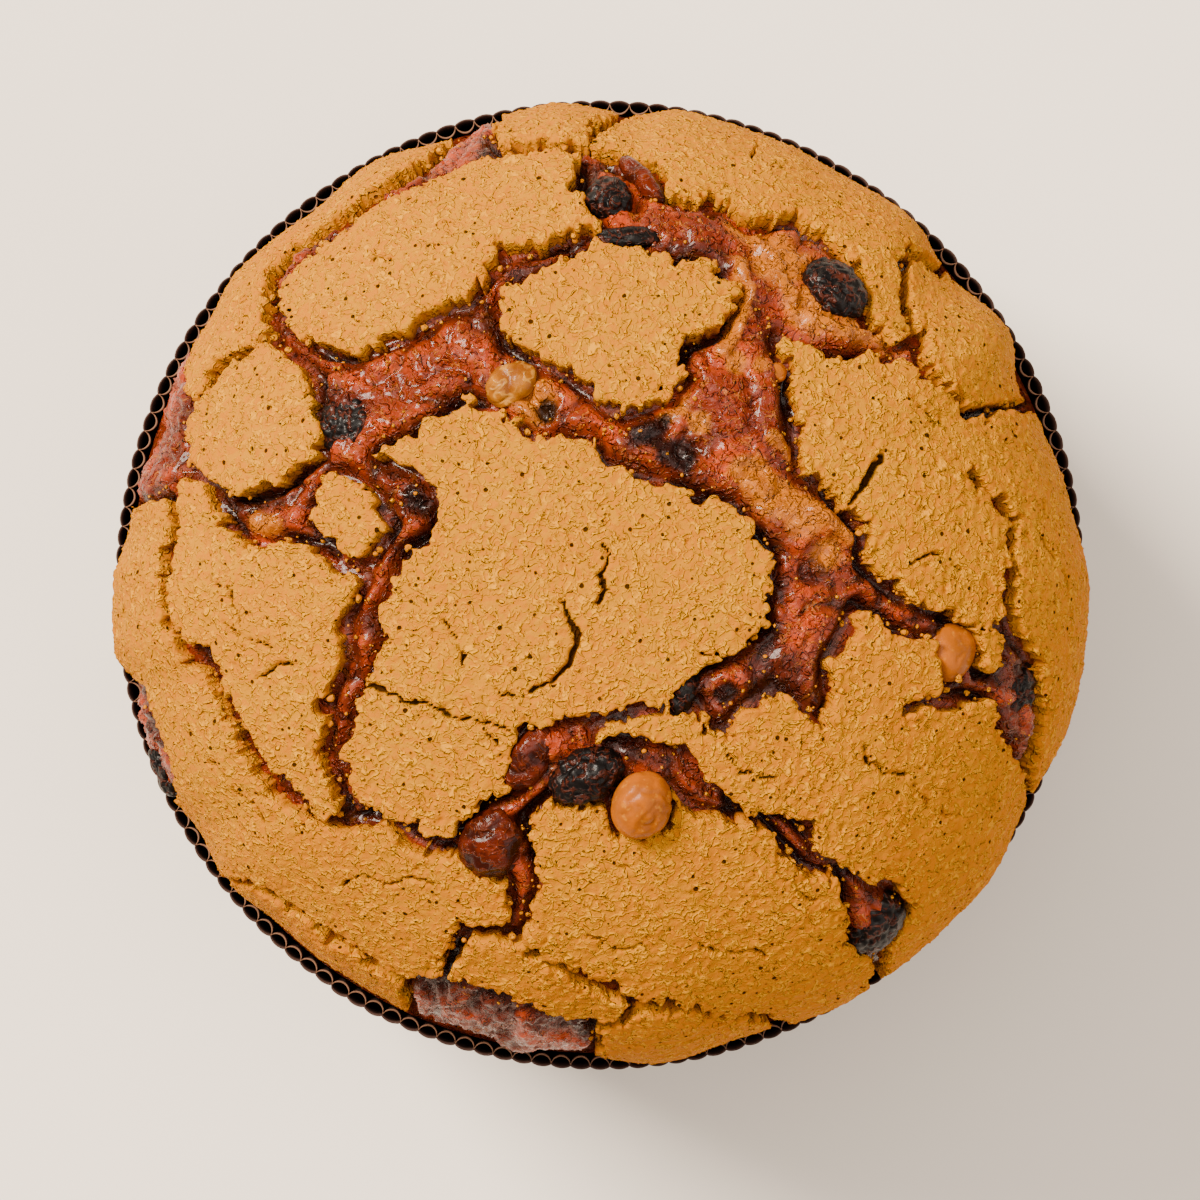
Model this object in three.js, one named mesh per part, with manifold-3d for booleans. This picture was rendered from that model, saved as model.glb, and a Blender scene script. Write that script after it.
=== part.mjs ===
// A tall glazed panettone in its paper baking case, seen and eaten from the top.
// The loaf is one solid with a domed, mahogany crust. A sugar glaze baked on that dome has broken
// into plates, and raisins, hazelnuts and candied fruit show in the fissures between them.
// Units are millimetres, +Z is up, and the origin is the middle of the case's flat underside.
import * as THREE from "three";
import { mergeVertices } from "three/addons/utils/BufferGeometryUtils.js";
import Module from "manifold-3d";

const wasm = await Module();
wasm.setup();

// Driving sizes
const CASE_RADIUS = 85; // outside of the smooth facing paper
const CASE_HEIGHT = 110;
const CASE_FLOOR = 0.8;
const FACING_PAPER = 0.5;
const FLUTE_DEPTH = 1.5;
const FLUTE_COUNT = 154;
const GAP = 0.3; // clearance between touching pieces
const DOME_HEIGHT = 50; // from the widest ring of the dome to its top
const WIDEST_Z = 112.5; // the dome is widest just above the case's rim
const GLAZE_THICKNESS = 2.3;
const LIP_Z = CASE_HEIGHT + GAP; // underside of what bulges out over the rim
const LOAF_RADIUS = CASE_RADIUS - FACING_PAPER - FLUTE_DEPTH - GAP;
const LOAF_SHOULDER_Z = 92; // below this the loaf fills the case
const DOME_POWER = 2.4; // how full the dome is: 2 would be an ellipse
const SECTORS = 56; // facets round the loaf and its glaze
const DOME_RINGS = 11; // facets from the dome's top to its widest ring

// Where the dome's outline bulges over the rim or falls short of it: [degrees from +X, radius]
const WIDEST_RING = [
  [0, 85.2], [10, 83], [20, 81.6], [25, 80.4], [32, 83.8], [42, 81], [50, 83.8], [60, 82.8],
  [70, 83.4], [80, 83.8], [86, 82], [95, 84.1], [103, 83.4], [109, 81.8], [118, 83.6], [127, 82],
  [140, 83.3], [146, 82.3], [153, 83.1], [161, 81.8], [168, 82.8], [173, 82.6], [180, 84.8],
  [187, 85.2], [193, 83.2], [204, 83.5], [212, 81.9], [218, 83], [228, 81.2], [240, 81],
  [252, 82.1], [262, 82.9], [268, 82], [277, 83.9], [288, 82.6], [302, 84.6], [315, 84.5],
  [323, 85], [332, 83.5], [345, 85.3],
];

// The fissures, each a chain of [x, y, half-width] in plan, in the order the brush would take
const FISSURES = {
  upper_left_channel: [
    [-19.5, 76, 2.6], [-24, 75, 3.4], [-28, 72, 2.6], [-32.5, 69.3, 1.9], [-36.5, 66.5, 1.9],
    [-40.5, 64.2, 1.6], [-44.5, 62.2, 1], [-48.5, 59.6, 1.2], [-51.5, 57.2, 1.9], [-53.5, 54.3, 2.2],
    [-55.6, 51, 1.6], [-55.7, 47.5, 1.6], [-55, 43.8, 2.4], [-51, 40, 1.8], [-47, 38.5, 2.2],
  ],
  upper_left_rim: [[-23, 81, 4.5], [-18.5, 81.5, 1.8]],
  upper_left_field: [
    [-47, 37.5, 2.6], [-43, 34, 5], [-38, 33.5, 6.8], [-32, 34.5, 7.6], [-26.5, 38, 7.6],
    [-22.5, 42, 6], [-19.5, 46.5, 3], [-18.3, 50.3, 1.4], [-14.5, 54, 3], [-10, 55, 2.6],
    [-5, 57.3, 1.4], [-1.5, 59, 1.6],
  ],
  skin_bump_field: [[-43, 34, 5], [-43, 28.5, 5.6], [-43.5, 24, 4.2], [-38, 28, 5], [-33, 29, 4]],
  citron_field: [
    [-20, 37, 6], [-14, 34, 5.5], [-9.5, 30.8, 6.4], [-5, 29.3, 5], [0, 27.2, 2.9],
    [5, 23.8, 5], [10, 24.2, 6.8], [15, 24.5, 8], [18.5, 31.5, 5.4], [22, 36.5, 5.4],
  ],
  plate_notch: [[20, 40.5, 2.6], [16.5, 39.8, 2.4], [15.5, 37, 2.2]],
  upper_right_field: [
    [25, 41.5, 4.6], [27, 48, 3.4], [26, 55, 4.4], [20, 60, 5], [14, 60, 5.4], [8.5, 61, 5],
    [3.5, 65, 5.8], [0.5, 69, 4.6],
  ],
  amber_field: [
    [26, 56, 6.4], [32, 56.5, 6.2], [36.5, 52, 7.4], [39.5, 48, 6.6], [35, 45, 5.4],
    [42, 42.8, 4.4], [46.5, 41.5, 2.8], [49.5, 39.4, 1.2],
  ],
  right_channel: [
    [25, 40, 5], [27, 34, 4.8], [27.5, 27, 5.8], [26.5, 20.5, 6.4], [29, 15.5, 6.2], [34, 10.5, 7.2],
    [39, 6.5, 6], [36.5, 0, 8], [41.5, 2.5, 3.6], [46.5, -1.8, 2.4], [50.5, -4.8, 3],
    [54.5, -6.6, 2.8], [59.5, -7.4, 2], [62.3, -9, 1.4],
  ],
  crown_shoulder: [[26, 21, 6], [20, 18.8, 5], [15.5, 18.6, 3.2]],
  centre_right_field: [
    [36, -1, 7.6], [34.5, -8, 6.6], [30, -12.5, 5.2], [25, -15.5, 4.2], [20.5, -18.5, 4],
    [20.5, -22.5, 2.6],
  ],
  centre_right_lower: [[33.5, -12.5, 5.6], [35, -17.5, 3.6], [37, -20.8, 2.2]],
  small_raisin_gap: [[20, -15.5, 3.4], [15, -18, 2.6], [11, -20.6, 0.9], [5, -20.9, 0.8]],
  cluster_top: [
    [5, -20.9, 0.8], [-1, -22.6, 1.2], [-5, -24.5, 2], [-10.5, -25.5, 3], [-12.2, -29, 3.6],
    [-11, -32.6, 3],
  ],
  cluster_hole: [
    [-4, -26, 3.4], [-2.5, -31, 5.2], [3, -28.2, 3.4], [8.5, -28.2, 2], [12, -29.6, 2.6],
    [13.5, -32.6, 2.2], [16.5, -35.6, 2.6], [20, -37.4, 2], [24, -39, 1.4], [28, -39.6, 1.5],
    [31.5, -41, 2.2], [34, -44, 2.3], [36, -47.4, 1.8], [40, -48.7, 1], [43.5, -51.5, 1.6],
    [46.5, -56.5, 5.4], [47, -61.5, 3],
  ],
  front_right_rim: [[47, -61.5, 3], [48.3, -66.5, 1], [48.6, -72, 1.2]],
  cherry_hole: [
    [-9, -33.5, 2.4], [-13, -37, 2.4], [-17.5, -39, 3.8], [-18, -43.5, 6], [-14.5, -45.5, 4],
    [-12.8, -50.5, 2.5], [-13.5, -55, 1.8], [-14.4, -58.3, 2], [-18.5, -58.9, 1.2],
    [-22.8, -58.2, 1.8], [-24.6, -60.8, 1.2], [-25.9, -64.4, 0.6],
  ],
  front_left_field: [
    [-30.5, -70.5, 4], [-26, -72, 5], [-20, -74.5, 5.6], [-13, -77, 5.4], [-7, -79, 5],
    [-3.5, -80, 3.6],
  ],
  front_left_rim: [[-36, -76, 3], [-28, -79.5, 4.5], [-18, -83, 4.5], [-8, -85, 4], [0, -85.5, 3]],
  front_left_joint: [[-25.9, -64.4, 0.6], [-26.3, -68.4, 1.2]],
  left_round_crack: [
    [-71.5, 29, 1.2], [-66.8, 33.5, 0.5], [-64.2, 37, 0.6], [-60.5, 40, 0.6], [-57, 42.3, 0.9],
  ],
  left_rim_field: [
    [-72, 52, 5.5], [-74.5, 44.5, 5], [-77, 38, 5.8], [-79, 31, 7.6], [-79.5, 25, 8.8],
    [-79.5, 21.5, 8.4],
  ],
  left_rim_crack: [
    [-73, 14.6, 1.4], [-72.6, 8.5, 0.6], [-73.8, 5, 0.5], [-74.4, 1, 0.5], [-74.5, -3, 0.5],
    [-73.5, -6.5, 0.6], [-71, -9, 0.7], [-69.4, -11, 1], [-67.3, -12.8, 1.4], [-65.3, -15.3, 1.1],
    [-64, -18.7, 1], [-62.2, -22.5, 1], [-60, -26.3, 1.4], [-57.6, -29.2, 1.3], [-55.7, -32.5, 1.3],
    [-53.8, -35.4, 1.7], [-51, -37.2, 1.2], [-48.8, -39.4, 0.9], [-45.5, -40.2, 0.9],
  ],
  lower_left_crack: [
    [-45.5, -40.2, 0.9], [-41.5, -39.4, 1.2], [-37, -39.5, 0.7], [-33.5, -40.4, 0.7],
    [-30.6, -41.9, 1], [-28, -43.6, 1.5], [-25, -44, 1.8],
  ],
  left_fissure: [
    [-44.5, 22, 2.6], [-40.5, 20.6, 2.4], [-36.5, 18.2, 3.2], [-32.2, 15, 4.4], [-31.5, 11.3, 4.2],
    [-33.6, 8.4, 2.2], [-35.6, 4, 2.8], [-37.2, 0, 3], [-39.6, -4.5, 3.1], [-39.9, -8.6, 3.6],
    [-40.7, -12.8, 2.9], [-42, -16.6, 2.5], [-44.1, -20.8, 2.7], [-43.9, -25.3, 1.8],
    [-45.5, -28.4, 1.5], [-44.2, -31.6, 1.9], [-42.6, -35, 1.9], [-41.6, -38, 2],
  ],
  left_hollow: [
    [-73, 21.4, 0.8], [-69.8, 19.8, 0.6], [-67.3, 18, 0.7], [-64.5, 15.2, 1.6], [-62, 12.6, 2.8], [-58.3, 11, 4.4],
    [-54.3, 11.8, 4.8], [-51, 14.5, 3.8], [-49, 18, 2.6], [-46.5, 20.6, 2],
  ],
  small_plate_crack: [
    [-52, 9.8, 2.4], [-47.6, 7.4, 1.2], [-46, 5.6, 1], [-44, 3.3, 0.7], [-41.2, 2.6, 0.6],
    [-38.5, 2.6, 1],
  ],
  left_lower_rim: [
    [-84, -14, 1.6], [-82, -19, 3.2], [-81, -24.5, 4], [-79.5, -30, 5.4], [-78, -34.5, 4.6],
    [-76.5, -39, 3.2],
  ],
  top_joint: [
    [-18.5, 74.2, 1.2], [-12, 75, 0.6], [-6.5, 74.8, 0.6], [-3, 74.2, 1.4], [0.5, 72.5, 2.4],
  ],
  top_crack: [[-0.6, 75.8, 0.9], [-0.8, 78.4, 0.9], [2.6, 80, 0.6], [5.5, 82.5, 1.4], [6, 87, 1.6]],
  upper_right_crack: [
    [65, 60, 1.6], [59.5, 54.5, 1.4], [55.5, 56, 1], [52.3, 57, 0.9], [51.9, 53.5, 0.6], [52.3, 50, 0.6],
    [52.4, 46.5, 0.6], [53, 43, 0.9], [54, 40, 1.1], [55, 36.8, 0.6], [51.5, 40.4, 1.5],
  ],
  right_notch: [
    [80, 31, 1.8], [75, 31, 1.6], [71.5, 30.8, 1], [66.5, 30, 0.6], [62.5, 29.4, 0.6], [58.8, 33, 0.6],
    [55, 36.8, 0.6],
  ],
  right_crack: [
    [61.2, 19.2, 0.7], [62.4, 18.3, 0.9], [65, 16.6, 0.5], [66.8, 14.2, 0.5], [69, 12.2, 0.5],
    [70.8, 9.8, 0.5], [70.2, 6.2, 0.6], [69.4, 3.2, 0.7], [69.6, 0, 0.6], [69.6, -4, 0.9],
  ],
  right_fissure: [
    [69.6, -4, 0.9], [70.2, -9, 1.8], [71.2, -13, 3.2], [71, -18, 5], [71.6, -22.5, 4.4],
    [72, -26.5, 3], [73.2, -30.5, 1.4], [73.4, -34, 1], [75, -38, 1.2], [79, -40, 1.4],
  ],
  nut_hollow: [[59.4, -10.6, 3.6], [62.2, -13.8, 2.6], [62.6, -17.2, 2], [66.5, -17.6, 2.4]],
  nut_crack: [[62.6, -17.4, 2], [57.5, -18.9, 1], [53.6, -20.2, 1], [50.6, -21.7, 0.5]],
  front_joint: [
    [-12.4, -60.4, 0.7], [-10, -63.4, 0.6], [-5.3, -65.8, 0.5], [-1.7, -67.2, 0.5], [2.2, -68.9, 0.5],
    [6.8, -71.4, 0.9], [11.6, -71.8, 0.9], [15.8, -72.3, 0.7], [20.5, -74.2, 0.5], [26, -74.3, 0.5],
    [30, -75.6, 0.5], [36, -77.5, 0.8], [40, -80, 0.8],
  ],
  front_strip_joint: [[6.8, -71.4, 0.9], [3.5, -74.4, 0.6], [-1.5, -75.4, 1]],
  lower_left_joint: [
    [-66, -50.5, 0.8], [-60.3, -51.2, 0.5], [-56, -53, 0.5], [-52, -55.3, 0.5], [-48.8, -58.6, 0.6],
    [-44.6, -60.8, 1.4], [-41, -63.4, 0.6], [-37.6, -65.8, 0.5], [-33.5, -67.6, 1],
  ],
};

// One point inside each plate of glaze, which names it
const PLATES = {
  glaze_crown: [-8, 2],
  glaze_upper_left: [-28, 57],
  glaze_centre_top: [6, 42],
  glaze_left_round: [-60, 27],
  glaze_left_small: [-42, 11],
  glaze_left_large: [-58, -6],
  glaze_left_rim: [-66, -34],
  glaze_lower_left_lip: [-47, -62.5],
  glaze_upper_left_rim: [-52, 62.5],
  glaze_top: [-9, 79],
  glaze_top_right: [30, 70],
  glaze_upper_right_rim: [63, 42],
  glaze_right: [52, 20],
  glaze_right_centre: [52, -28],
  glaze_front: [12, -54],
  glaze_front_strip: [-14, -66],
  glaze_front_rim: [10, -77],
};

// Fruit and nuts in the fissures: plan centre, length along "turn", width, height, how far the
// centre stands above the bare crust, and the wrinkle depth
const TOPPINGS = {
  raisin_top_long: { at: [4.5, 57.6], size: [12.5, 4.8, 4.6], turn: 2, rise: 0.6, wrinkle: 0.25 },
  raisin_top_round: { at: [1.6, 64.6], size: [9.6, 8, 6.5], turn: 60, rise: 0.8, wrinkle: 0.4 },
  dried_fruit_top: { at: [7, 67.4], size: [13.5, 4.4, 4], turn: -58, rise: 1.4, wrinkle: 0.35 },
  raisin_upper_right: { at: [39.3, 49.4], size: [12.6, 10, 8], turn: -48, rise: 0.8, wrinkle: 0.45 },
  raisin_under_skin: { at: [-42.3, 26.8], size: [11.5, 10.5, 7], turn: 20, rise: -0.8, wrinkle: 0.3 },
  citron_piece: { at: [-15, 33.4], size: [10, 6.8, 5], turn: 35, rise: 0.2, wrinkle: 0.3 },
  raisin_left_rim: { at: [-75.4, -31.6], size: [11, 6.4, 6.4], turn: -68, rise: -0.4, wrinkle: 0.35 },
  raisin_centre: { at: [-2.2, -31.2], size: [14, 9.6, 8.6], turn: 28, rise: 1.2, wrinkle: 0.5 },
  hazelnut_front: { at: [6.8, -35.6], size: [12.4, 10.4, 10], turn: 62, rise: 3.6, wrinkle: 0.12 },
  hazelnut_right: { at: [59.3, -11.4], size: [11, 10.4, 8], turn: 20, rise: -0.6, wrinkle: 0.12 },
  raisin_right: { at: [71, -18], size: [11, 9, 7.4], turn: 80, rise: -0.2, wrinkle: 0.4 },
  raisin_front_right: { at: [46.6, -57.2], size: [13.2, 11.4, 9], turn: 70, rise: 0.2, wrinkle: 0.4 },
  raisin_gap: { at: [13.6, -17.8], size: [8.4, 5, 4.6], turn: 62, rise: -0.4, wrinkle: 0.35 },
  cherry_front: { at: [-18.2, -43], size: [13.6, 11.6, 7.6], turn: 75, rise: 0.2, wrinkle: 0.35 },
  apricot_piece: { at: [-11.6, -28.6], size: [11.6, 7, 5.4], turn: 62, rise: 0.4, wrinkle: 0.4 },
  nut_piece: { at: [29.2, 35.2], size: [5.2, 4.6, 4], turn: 30, rise: 0.8, wrinkle: 0.15 },
};

// Colours and finishes
const finish = (color, roughness) => new THREE.MeshStandardMaterial({ color, roughness, metalness: 0 });
const CASE_PAPER = finish(0x3a2118, 0.8);
const CRUST = finish(0x7a3420, 0.35);
const GLAZE = finish(0xd9913f, 0.75);
const RAISIN = finish(0x1c1716, 0.35);
const RED_FRUIT = finish(0x6b2414, 0.3);
const CITRON = finish(0xa8762a, 0.35);
const HAZELNUT = finish(0xb46a26, 0.5);
const TOPPING_FINISH = { raisin: RAISIN, dried: RED_FRUIT, cherry: RED_FRUIT, apricot: RED_FRUIT, citron: CITRON };

// A repeatable value from -1 to 1 for whole-number lattice points, and smooth noise between them
function latticeValue(i, j, k) {
  const s = Math.sin(i * 127.1 + j * 311.7 + k * 74.7) * 43758.5453;
  return (s - Math.floor(s)) * 2 - 1;
}
function noise(x, y, z) {
  const cell = [x, y, z].map(Math.floor);
  const [u, v, w] = [x - cell[0], y - cell[1], z - cell[2]].map((t) => t * t * (3 - 2 * t));
  let sum = 0;
  for (let corner = 0; corner < 8; corner++) {
    const [a, b, c] = [corner & 1, (corner >> 1) & 1, corner >> 2];
    const weight = (a ? u : 1 - u) * (b ? v : 1 - v) * (c ? w : 1 - w);
    sum += weight * latticeValue(cell[0] + a, cell[1] + b, cell[2] + c);
  }
  return sum;
}
const smoothstep = (low, high, t) => THREE.MathUtils.smoothstep(t, low, high);

// Three.js geometry to an exact solid and back
function solidOf(geometry) {
  const bare = geometry.clone();
  bare.deleteAttribute("normal");
  bare.deleteAttribute("uv");
  const merged = mergeVertices(bare, 1e-4);
  return new wasm.Manifold(new wasm.Mesh({
    numProp: 3,
    vertProperties: new Float32Array(merged.attributes.position.array),
    triVerts: new Uint32Array(merged.index.array),
  }));
}
function geometryOf(solid) {
  const mesh = solid.getMesh();
  const geometry = new THREE.BufferGeometry();
  geometry.setAttribute("position", new THREE.BufferAttribute(new Float32Array(mesh.vertProperties), 3));
  geometry.setIndex(new THREE.BufferAttribute(new Uint32Array(mesh.triVerts), 1));
  geometry.computeVertexNormals();
  return geometry;
}
const largestPiece = (solid) => solid.decompose().sort((a, b) => b.volume() - a.volume())[0];

// Rings of points, each the same number of sectors, closed by an apex at both ends
function ringedSolid(top, rings, bottom) {
  const sectors = rings[0].length;
  const positions = [top, ...rings.flat(), bottom].flat();
  const index = [];
  const at = (ring, sector) => 1 + ring * sectors + (sector % sectors);
  const last = 1 + rings.length * sectors;
  for (let s = 0; s < sectors; s++) {
    index.push(0, at(0, s), at(0, s + 1));
    for (let r = 0; r + 1 < rings.length; r++) {
      index.push(at(r, s), at(r + 1, s), at(r + 1, s + 1), at(r, s), at(r + 1, s + 1), at(r, s + 1));
    }
    index.push(last, at(rings.length - 1, s + 1), at(rings.length - 1, s));
  }
  const geometry = new THREE.BufferGeometry();
  geometry.setAttribute("position", new THREE.Float32BufferAttribute(positions, 3));
  geometry.setIndex(index);
  return solidOf(geometry);
}

// The dome: its widest radius at an angle, and a point on it at an offset below the glaze's face
function widestRadius(angle) {
  const degrees = THREE.MathUtils.euclideanModulo(THREE.MathUtils.radToDeg(angle), 360);
  let i = WIDEST_RING.length - 1;
  while (WIDEST_RING[i][0] > degrees) i--;
  const [from, low] = WIDEST_RING[i];
  const [to, high] = WIDEST_RING[i + 1] ?? [360, WIDEST_RING[0][1]];
  return low + (high - low) * smoothstep(0, 1, (degrees - from) / (to - from));
}
function domePoint(angle, polar, offset) {
  const fall = Math.sin(polar) ** (2 / DOME_POWER);
  const blend = smoothstep(0.55, 1, fall);
  const radius = (blend * widestRadius(angle) + (1 - blend) * (CASE_RADIUS - 1.8) + offset) * fall;
  const z = WIDEST_Z + (DOME_HEIGHT + offset) * Math.cos(polar);
  return [radius * Math.cos(angle), radius * Math.sin(angle), z];
}
function domeRings(offsetAt) {
  return Array.from({ length: DOME_RINGS }, (_, r) => Array.from({ length: SECTORS }, (_, s) => {
    const angle = (2 * Math.PI * s) / SECTORS;
    const polar = (Math.PI / 2) * ((r + 1) / DOME_RINGS);
    return domePoint(angle, polar, offsetAt(angle, polar));
  }));
}
function heightOver(x, y, offset) {
  const fall = Math.min(Math.hypot(x, y) / (CASE_RADIUS - 1.8 + offset), 0.999);
  const polar = Math.asin(fall ** (DOME_POWER / 2));
  return WIDEST_Z + (DOME_HEIGHT + offset) * Math.cos(polar);
}

// How far a plan point is from the nearest fissure's edge, above 0 on glaze and below 0 in a
// fissure, and how far it is from the nearest fissure's middle
const STROKES = Object.values(FISSURES).flatMap((chain) => chain.slice(1).map((end, i) => [chain[i], end]));
function fissureDistances(x, y) {
  let [edge, middle] = [Infinity, Infinity];
  for (const [[ax, ay, aw], [bx, by, bw]] of STROKES) {
    const [dx, dy] = [bx - ax, by - ay];
    const t = THREE.MathUtils.clamp(((x - ax) * dx + (y - ay) * dy) / (dx * dx + dy * dy), 0, 1);
    const away = Math.hypot(x - ax - t * dx, y - ay - t * dy);
    edge = Math.min(edge, away - aw - t * (bw - aw));
    middle = Math.min(middle, away);
  }
  return [edge, middle];
}

// The glaze's outlines in plan: contours of the fissure field, thinned to the points that matter
const FIELD_STEP = 0.8;
const FIELD_REACH = 89; // just past the dome's widest ring
const SMALLEST_PLATE = 6; // plan area, in square millimetres
const RAGGED_DEPTH = 0.55;
const RAGGED_PITCH = 2.1;
const OUTLINE_TOLERANCE = 0.58;
const LEAST_HALF_WIDTH = 0.65; // of any crack, so that the plates stay apart

function glazeField(x, y) {
  const ragged = RAGGED_DEPTH * noise(x / RAGGED_PITCH, y / RAGGED_PITCH, 0.5);
  const [edge, middle] = fissureDistances(x, y);
  return Math.min(edge + ragged, middle - LEAST_HALF_WIDTH, FIELD_REACH - 1 - Math.hypot(x, y));
}
function contourLoops() {
  const count = Math.ceil((2 * FIELD_REACH) / FIELD_STEP) + 1;
  const place = (i) => -FIELD_REACH + i * FIELD_STEP;
  const value = [];
  for (let j = 0; j < count; j++) for (let i = 0; i < count; i++) value.push(glazeField(place(i), place(j)));
  const next = new Map();
  const point = new Map();
  const crossing = (i0, j0, i1, j1) => {
    const key = i0 < i1 || j0 < j1 ? `${i0},${j0},${i1},${j1}` : `${i1},${j1},${i0},${j0}`;
    if (!point.has(key)) {
      const [a, b] = [value[j0 * count + i0], value[j1 * count + i1]];
      const t = a / (a - b);
      point.set(key, [place(i0) + t * (i1 - i0) * FIELD_STEP, place(j0) + t * (j1 - j0) * FIELD_STEP]);
    }
    return key;
  };
  for (let j = 0; j + 1 < count; j++) {
    for (let i = 0; i + 1 < count; i++) {
      const corners = [[i, j], [i + 1, j], [i + 1, j + 1], [i, j + 1]];
      const inside = corners.map(([a, b]) => value[b * count + a] > 0);
      const exits = [];
      const entries = [];
      for (let k = 0; k < 4; k++) {
        const m = (k + 1) % 4;
        if (inside[k] === inside[m]) continue;
        (inside[k] ? exits : entries).push(crossing(...corners[k], ...corners[m]));
      }
      exits.forEach((from, k) => next.set(from, entries[k]));
    }
  }
  const loops = [];
  while (next.size) {
    const loop = [];
    let key = next.keys().next().value;
    while (next.has(key)) {
      loop.push(point.get(key));
      const following = next.get(key);
      next.delete(key);
      key = following;
    }
    loops.push(loop);
  }
  return loops;
}
function thinned(points) {
  if (points.length < 3) return points;
  const [first, last] = [points[0], points[points.length - 1]];
  const [dx, dy] = [last[0] - first[0], last[1] - first[1]];
  const length = Math.hypot(dx, dy) || 1;
  let [worst, far] = [0, OUTLINE_TOLERANCE];
  points.forEach(([x, y], i) => {
    const off = Math.abs((x - first[0]) * dy - (y - first[1]) * dx) / length;
    if (off > far) [worst, far] = [i, off];
  });
  if (!worst) return [first, last];
  return [...thinned(points.slice(0, worst + 1)).slice(0, -1), ...thinned(points.slice(worst))];
}
function thinnedLoop(loop) {
  const half = loop.length >> 1;
  return [...thinned(loop.slice(0, half + 1)).slice(0, -1), ...thinned([...loop.slice(half), loop[0]]).slice(0, -1)];
}

// The paper case: a smooth facing outside, upright flutes inside, and a flat floor
function paperCase() {
  const perFlute = 2;
  const count = FLUTE_COUNT * perFlute;
  const ring = (radiusAt, z) => Array.from({ length: count }, (_, i) => {
    const angle = (2 * Math.PI * i) / count;
    const radius = radiusAt(i);
    return [radius * Math.cos(angle), radius * Math.sin(angle), z];
  });
  const polygon = (points) => new THREE.Shape(points.map(([x, y]) => new THREE.Vector2(x, y)));
  const facing = Array.from({ length: FLUTE_COUNT }, (_, i) => {
    const angle = (2 * Math.PI * i) / FLUTE_COUNT;
    return [CASE_RADIUS * Math.cos(angle), CASE_RADIUS * Math.sin(angle)];
  });
  const middle = CASE_RADIUS - FACING_PAPER - FLUTE_DEPTH / 2;
  const fluted = ring((i) => middle + (FLUTE_DEPTH / 2) * (i % perFlute ? 1 : -1), 0);
  const outside = solidOf(new THREE.ExtrudeGeometry(polygon(facing), { depth: CASE_HEIGHT, bevelEnabled: false }));
  const inside = solidOf(new THREE.ExtrudeGeometry(polygon(fluted), { depth: CASE_HEIGHT, bevelEnabled: false }));
  return outside.subtract(inside.translate([0, 0, CASE_FLOOR]));
}

// The loaf: fills the case, and its domed crust is creased wherever the glaze has opened wide
const CREASE_DEPTH = 3;
const CREASE_PITCH = 9;

function loaf() {
  const skin = -GLAZE_THICKNESS - GAP;
  const rings = domeRings((angle, polar) => {
    const [x, y] = domePoint(angle, polar, skin);
    const open = smoothstep(0, 4, -fissureDistances(x, y)[0]);
    return skin - CREASE_DEPTH * open * Math.abs(noise(x / CREASE_PITCH, y / CREASE_PITCH, 2));
  });
  const level = (z, radiusAt) => Array.from({ length: SECTORS }, (_, s) => {
    const angle = (2 * Math.PI * s) / SECTORS;
    const radius = radiusAt(angle);
    return [radius * Math.cos(angle), radius * Math.sin(angle), z];
  });
  rings.push(level(LIP_Z, (angle) => Math.min(widestRadius(angle) + skin, LOAF_RADIUS)));
  rings.push(level(LOAF_SHOULDER_Z, () => LOAF_RADIUS));
  rings.push(level(CASE_FLOOR + GAP, () => LOAF_RADIUS));
  return ringedSolid([0, 0, WIDEST_Z + DOME_HEIGHT + skin], rings, [0, 0, CASE_FLOOR + GAP]);
}

// The unbroken glaze: the dome's outer face, down to the widest ring and back up underneath
function glazeShell() {
  const rings = [...domeRings(() => 0), ...domeRings(() => -GLAZE_THICKNESS).reverse()];
  const top = WIDEST_Z + DOME_HEIGHT;
  return ringedSolid([0, 0, top], rings, [0, 0, top - GLAZE_THICKNESS]);
}
function plateSolids(shell) {
  const loops = contourLoops().map(thinnedLoop).filter((loop) => loop.length > 3);
  const shapes = loops.map((loop) => loop.map(([x, y]) => new THREE.Vector2(x, y)));
  const outers = shapes.filter((points) => THREE.ShapeUtils.area(points) > SMALLEST_PLATE);
  const holes = shapes.filter((points) => THREE.ShapeUtils.area(points) < 0);
  const pieces = [];
  for (const outer of outers) {
    const shape = new THREE.Shape(outer);
    shape.holes = holes.filter((hole) => insideLoop(hole[0], outer)).map((hole) => new THREE.Path(hole));
    const prism = solidOf(new THREE.ExtrudeGeometry(shape, { depth: 80, bevelEnabled: false }));
    pieces.push(...shell.intersect(prism.translate([0, 0, WIDEST_Z - 10])).decompose());
  }
  return pieces;
}
function insideLoop(point, loop) {
  let inside = false;
  loop.forEach((a, i) => {
    const b = loop[(i + 1) % loop.length];
    if (a.y > point.y !== b.y > point.y && point.x < a.x + ((point.y - a.y) / (b.y - a.y)) * (b.x - a.x)) {
      inside = !inside;
    }
  });
  return inside;
}

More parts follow.
